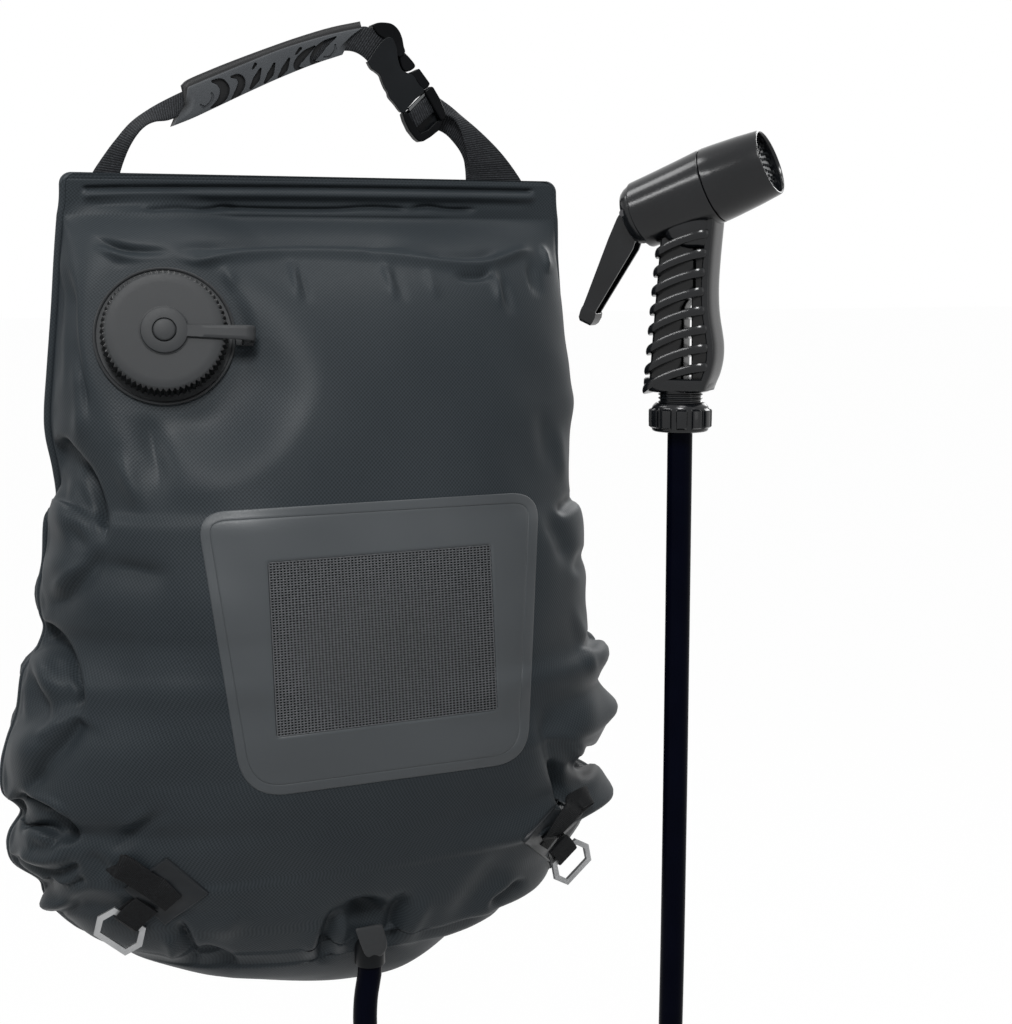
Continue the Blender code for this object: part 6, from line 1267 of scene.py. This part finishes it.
# Handset grip
# One black moulding: a smooth spine along the front, a core, and eight thin fins that slant up
# and bend forwards, with the core showing dark between them.
grip_foot, grip_height = 0.0275, 0.0950
FIN_LONG, FIN_HALF = 0.0500, 0.0165


def oval(angle, power):
    """Cosine and sine of a squared-off oval: each is raised to a power and keeps its sign."""
    c, s = np.cos(angle), np.sin(angle)
    return np.sign(c) * np.abs(c) ** power, np.sign(s) * np.abs(s) ** power


def lofted(name, heights, fore, aft, half, power, sides=56):
    """Oval sections stacked up the grip: fore and aft are its two ends, half its half-width."""
    angle = np.linspace(0, 2 * math.pi, sides, endpoint=False)
    c, s = oval(angle, power)
    middle, reach = (fore + aft) / 2, (fore - aft) / 2
    grid = np.stack([middle[:, None] + reach[:, None] * c, half[:, None] * s,
                     heights[:, None] * np.ones(sides)], axis=-1)
    made = sheet_mesh(name, tipped(grid) @ HAND + HAND_AT, closed=True)
    tidy(made, 35)
    return made


up_line = np.linspace(0, 1, 60)
spine_z = grip_foot - 0.001 + up_line * 0.1105
SPINE_LEVELS = np.array([-0.02, 0.03, 0.14, 0.26, 0.36, 0.48, 0.60, 0.72, 0.9, 1.12])
SPINE_REACH = np.array([0.36, 0.43, 0.505, 0.53, 0.505, 0.458, 0.44, 0.44, 0.462, 0.50])
spine_fore = np.interp(spine_z, grip_foot + grip_height * SPINE_LEVELS, FIN_LONG * SPINE_REACH)
spine_fore = np.convolve(np.pad(spine_fore, 3, mode="edge"), np.ones(7) / 7, mode="valid")
spine = lofted("grip_spine", spine_z, spine_fore, spine_fore - 0.0066, np.full(60, FIN_HALF * 0.72), 0.55)
front_web = lofted("grip_front_web", spine_z, spine_fore - 0.005,
                   np.full(60, FIN_LONG * 0.17) - 0.0010 * up_line, np.full(60, FIN_HALF * 0.34), 0.30)
rear_fore = FIN_LONG * (0.075 + 0.15 * smooth((up_line - 0.46) / 0.12))
rear_web = lofted("grip_rear_web", spine_z, rear_fore, FIN_LONG * (-0.39 + 0.16 * up_line),
                  np.full(60, FIN_HALF * 0.56), 0.34)
base_z = grip_foot + np.array([-0.0024, -0.0020, -0.0008, 0.0010, 0.0034, 0.0058, 0.0066])
base = lofted("grip_base", base_z, FIN_LONG * np.array([0.28, 0.34, 0.385, 0.415, 0.43, 0.43, 0.42]),
              FIN_LONG * np.array([-0.36, -0.405, -0.435, -0.452, -0.458, -0.455, -0.44]),
              FIN_HALF * np.array([0.78, 0.86, 0.93, 0.97, 0.98, 0.96, 0.90]), 0.62, 72)
crown_z = grip_foot + grip_height * np.array([0.925, 0.940, 0.965, 1.00, 1.06, 1.14])
top_block = lofted("grip_shoulder", crown_z, FIN_LONG * np.array([0.40, 0.43, 0.45, 0.46, 0.47, 0.48]),
                   FIN_LONG * np.array([0.10, -0.02, -0.12, -0.20, -0.26, -0.24]),
                   FIN_HALF * np.array([0.66, 0.80, 0.90, 0.94, 0.92, 0.88]), 0.7, 72)
fin_angle = np.linspace(0, 2 * math.pi, 96, endpoint=False)
fin_c, fin_s = oval(fin_angle, 0.50)
fin_shares = [(0.0, 0.5), (0.90, 0.5), (0.965, 0.46), (0.99, 0.28), (1.0, 0.0), (0.99, -0.28), (0.965, -0.46),
              (0.90, -0.5), (0.0, -0.5)]
fins = []
for number in range(8):
    level = grip_foot + grip_height / 8 * (0.55 + number) + 0.0013
    part = number / 7
    front_here = np.interp(level + 0.0068, spine_z, spine_fore) - 0.0012
    fore, aft = min(FIN_LONG * 0.475, front_here), FIN_LONG * (-0.462 + 0.152 * part)
    half_long, centre_x = (fore - aft) / 2, (fore + aft) / 2
    rings = []
    for share, thick in fin_shares:
        x = half_long * fin_c * share
        y = FIN_HALF * fin_s * share
        z = level + 0.36 * x - 6.5 * x * x + 0.0020 + thick * 0.0056
        rings.append(np.stack([centre_x + x, y, z], axis=-1))
    made = sheet_mesh("grip_fin_%d" % (number + 1), np.array(rings) @ HAND + HAND_AT, closed=True)
    tidy(made, 45)
    fins.append(made)
for made in [thread_neck, spine, front_web, rear_web, base, top_block] + fins:
    dress(made, BLACK_PLASTIC, "root", "black_plastic", "handset_grip")

# Barrel
# The handset's body: a tube with a rounded back, slotted below for the lever, with the valve
# inside it.
BARREL = np.array([(0.23068, -0.26350, -0.93667), (0.75241, 0.65869, 0.0), (0.61698, -0.70477, 0.35021)])
BARREL_AT = np.array([0.16756, -0.13401, -0.09750])
barrel = turned_piece("barrel_shell", [
    (0, -8.2), (10, -8), (15, -7.2), (17.8, -5.6), (19.4, -3.2), (20.2, -0.8), (20.4, 0.6), (21.2, 0.8),
    (21.5, 1.4), (21.6, 2.4), (21.8, 8), (22.3, 20), (23.1, 36), (23.9, 50), (23.9, 50.9), (23.6, 51.3),
    (20.8, 51.4), (20.7, 70), (15, 71), (14.5, 10), (0, 10)], BARREL, BARREL_AT, 112, None, 28)
LEVER = np.array([(0.60406, -0.69001, -0.39875), (0.75241, 0.65869, 0.0), (0.26265, -0.30002, 0.91706)])
LEVER_AT = np.array([0.16409, -0.13004, -0.09627])
corner = np.array([(a, b, c) for a in (-0.036, 0.0200) for b in (-0.0080, 0.0080) for c in (-0.040, 0.0080)])
cutter_mesh = bpy.data.meshes.new("slot_cutter")
cutter_mesh.from_pydata(corner @ LEVER + LEVER_AT, [],
                        [(0, 1, 3, 2), (4, 6, 7, 5), (0, 4, 5, 1), (2, 3, 7, 6), (0, 2, 6, 4), (1, 5, 7, 3)])
cutter = link_new("slot_cutter", cutter_mesh)
slot_cut = barrel.modifiers.new("lever_slot", "BOOLEAN")
slot_cut.operation = "DIFFERENCE"
slot_cut.solver = "EXACT"
slot_cut.object = cutter
shaped = bpy.data.meshes.new_from_object(barrel.evaluated_get(bpy.context.evaluated_depsgraph_get()))
barrel.modifiers.clear()
barrel.data = shaped
bpy.data.objects.remove(cutter)
shaped.shade_smooth()
shaped.set_sharp_from_angle(angle=math.radians(28))
shaped.materials.clear()
dress(barrel, BLACK_PLASTIC, "root", "black_plastic", "handset_barrel")

# Nozzle
# A tapered sleeve that turns on the barrel's collar, with a plate of fine jets set back inside
# its bright-edged mouth.
nozzle = turned_piece("nozzle_cone", [
    (21.2, 51.9), (23.3, 51.9), (23.8, 52.3), (23.9, 53), (23.5, 60), (22.3, 76), (20.8, 89), (20.5, 89.9),
    (20, 90.3), (19.4, 90.2), (19, 89.6), (18.8, 88), (18.7, 83), (18, 82.5), (17.9, 81), (21.2, 79),
    (21.2, 51.9)],
    BARREL, BARREL_AT, 112)
plate = turned_piece("jet_plate", [
    (0, 85.3), (6, 85.2), (12, 84.9), (17, 84.4), (18.4, 84.1), (18.4, 83.2), (0, 83.2)],
    BARREL, BARREL_AT, 80)
jet_spots = [(0.0, 0.0)]
for ring_number, around in ((1, 6), (2, 12), (3, 18), (4, 24)):
    turn_by = 2 * math.pi * (np.arange(around) + 0.5 * (ring_number % 2)) / around
    jet_spots += [(0.0040 * ring_number * math.cos(a), 0.0040 * ring_number * math.sin(a)) for a in turn_by]
jet_spots = np.array(jet_spots)
jet_angle = np.linspace(0, 2 * math.pi, 10, endpoint=False)
jet_rings = []
for radius, height in ((0.00115, 0.0838), (0.00100, 0.0856), (0.00085, 0.0862), (0.00045, 0.0862),
                       (0.00040, 0.0852), (0.0, 0.0852)):
    jet_rings.append(np.stack([jet_spots[:, :1] + radius * np.cos(jet_angle),
                               jet_spots[:, 1:] + radius * np.sin(jet_angle),
                               np.full((len(jet_spots), 10), height)], axis=-1))
jet_grid = np.array(jet_rings)
jet_index = np.arange(jet_grid.size // 3).reshape(jet_grid.shape[:3])
jet_quads = np.stack([jet_index[:-1], np.roll(jet_index, -1, axis=2)[:-1], np.roll(jet_index, -1, axis=2)[1:],
                      jet_index[1:]], axis=-1).reshape(-1, 4)
jet_mesh = bpy.data.meshes.new("jets")
jet_mesh.from_pydata(jet_grid.reshape(-1, 3) @ BARREL + BARREL_AT, [], jet_quads)
jets = link_new("jets", jet_mesh)
tidy(jets, 40)
PLATE_GREY = moulded("jet_plate_grey", (0.20, 0.205, 0.21), (0.30, 0.305, 0.31), 0.4, 0.08, 0.00002)
dress(nozzle, BLACK_PLASTIC, "nozzle", "black_plastic", "nozzle_sleeve")
dress(plate, PLATE_GREY, "nozzle", "black_plastic", "spray_plate")
dress(jets, NYLON, "nozzle", "black_plastic")

# Lever
# A moulded lever with a channel open towards the grip, solid at its head, wider there than at its
# foot, and closed by a small rounded knob.
lever_z = np.array([4.6, 4, 1, -6, -15, -17.5, -20, -30, -40, -50, -60, -66.2, -66.8, -67.4, -70, -74, -75.7,
                    -76.2]) / 1000
lever_back = np.interp(-lever_z, [-0.005, 0.004, 0.02, 0.066, 0.068, 0.0735, 0.0762],
                       [-0.0042, -0.0066, -0.0068, -0.0058, -0.0062, -0.0060, -0.0044])
lever_front = np.interp(-lever_z, [-0.005, 0.0, 0.012, 0.020, 0.066, 0.0668, 0.068, 0.0735, 0.0762],
                        [0.0040, 0.0050, 0.0105, 0.0110, 0.0036, 0.0036, 0.0050, 0.0048, 0.0034])
lever_half = np.interp(-lever_z, [-0.005, -0.002, 0.02, 0.066, 0.068, 0.0735, 0.0762],
                       [0.0052, 0.0064, 0.0065, 0.0058, 0.0062, 0.0060, 0.0048])
open_share = smooth((-lever_z - 0.0150) / 0.0048) * smooth((lever_z + 0.0670) / 0.0006)
wall, spine_wall = 0.0017, 0.0040
floor_x = lever_front - open_share * (lever_front - lever_back - spine_wall)
section_x = np.stack([lever_back, lever_front, lever_front, floor_x, floor_x, lever_front, lever_front,
                      lever_back], axis=1)
inner_half = lever_half - wall
section_y = np.stack([-lever_half, -lever_half, -inner_half, -inner_half, inner_half, inner_half, lever_half,
                      lever_half], axis=1)
lever_grid = np.stack([section_x, section_y, lever_z[:, None] + 0 * section_x], axis=-1)
lever = sheet_mesh("squeeze_lever", tipped(lever_grid) @ LEVER + LEVER_AT, closed=True)
tidy(lever, 30)
round_edges(lever, 0.0009, 38)
dress(lever, BLACK_PLASTIC, "lever", "black_plastic", "trigger_lever")

# Parts that keep their CAD shapes
# The pin, gaskets, valve, hose tail, spigot, tether anchor and lower prong, each in its own finish.
# The anchor and the lower prong can be seen, and the others are mostly covered.
INNER_RUBBER = moulded("seal_black", (0.008, 0.008, 0.009), (0.012, 0.012, 0.013), 0.6, 0.06, 0.00002)
PIN_STEEL = moulded("pin_steel_dark", (0.030, 0.030, 0.032), (0.050, 0.050, 0.053), 0.42, 0.06, 0.00002)
for name, finish in (("lever_pin", PIN_STEEL), ("cap_gasket", INNER_RUBBER),
                     ("union_washer", INNER_RUBBER), ("valve_seal", INNER_RUBBER), ("valve_seat", NYLON),
                     ("valve_stem", NYLON), ("hose_tail", NYLON), ("outlet_spigot", CAP_PLASTIC),
                     ("tether_anchor", CAP_PLASTIC), ("buckle_prong_lower", NYLON)):
    refinish(name, finish)

# Floor, light and air
# A pale floor and a white surround, soft light from the front left, and weaker panels round the
# bag that give the glossy parts their highlights.
def white_share(tree):
    """Mask of the rays that see the surround itself: from the camera, in a gloss or through a clear part."""
    seen = add_node(tree, "LightPath").outputs
    mask = math_node(tree, "MAXIMUM", seen["Is Camera Ray"], seen["Is Glossy Ray"])
    return math_node(tree, "MAXIMUM", mask, seen["Is Transmission Ray"])


floor_mesh = bpy.data.meshes.new("floor")
FLOOR_Z = -1.06
floor_corners = [(x, y, FLOOR_Z) for x, y in ((-30, -30), (30, -30), (30, 30), (-30, 30))]
floor_mesh.from_pydata(floor_corners, [], [(0, 1, 2, 3)])
floor = link_new("floor", floor_mesh)
paint, tree, shader, _ = start_finish("pale_floor")
feed(tree, shader, {"Base Color": (0.86, 0.86, 0.86, 1), "Roughness": 0.8})
glow = add_node(tree, "Emission", {"Strength": 1.0})
mix = add_node(tree, "MixShader", {"Fac": math_node(tree, "MULTIPLY", white_share(tree), 0.985),
                                   1: shader.outputs["BSDF"], 2: glow.outputs["Emission"]})
feed(tree, tree.nodes["Material Output"], {"Surface": mix.outputs["Shader"]})
floor_mesh.materials.append(paint)

world = bpy.data.worlds.new("air")
bpy.context.scene.world = world
world.use_nodes = True
sky = world.node_tree
plain = sky.nodes["Background"]
feed(sky, plain, {"Color": (1, 1, 1, 1), "Strength": 0.07})
white = add_node(sky, "Background", {"Color": (1, 1, 1, 1), "Strength": 1.0})
choose = add_node(sky, "MixShader", {"Fac": white_share(sky), 1: plain.outputs["Background"],
                                     2: white.outputs["Background"]})
feed(sky, sky.nodes["World Output"], {"Surface": choose.outputs["Shader"]})

for name, place, size, power in (("key_light", (-0.95, -2.15, 1.9), (0.9, 0.9), 92.0),
                                 ("fill_light", (1.5, -2.4, 0.5), (0.7, 2.0), 5.0),
                                 ("top_light", (0.3, -0.5, 1.7), (1.6, 0.5), 20.0),
                                 ("rim_light", (1.6, 1.1, 0.8), (0.8, 1.4), 14.0),
                                 ("streak_light", (-2.0, -0.30, 0.92), (1.2, 0.22), 15.0),
                                 ("back_streak", (-1.1, 0.95, 1.55), (0.7, 0.7), 12.0)):
    lamp = bpy.data.lights.new(name, "AREA")
    lamp.shape = "RECTANGLE"
    lamp.size, lamp.size_y = size
    lamp.energy = power
    made = link_new(name, lamp)
    made.location = place
    made.rotation_euler = (Vector((0.05, -0.05, -0.30)) - Vector(place)).to_track_quat("-Z", "Y").to_euler()

bpy.context.scene.view_settings.view_transform = "Standard"
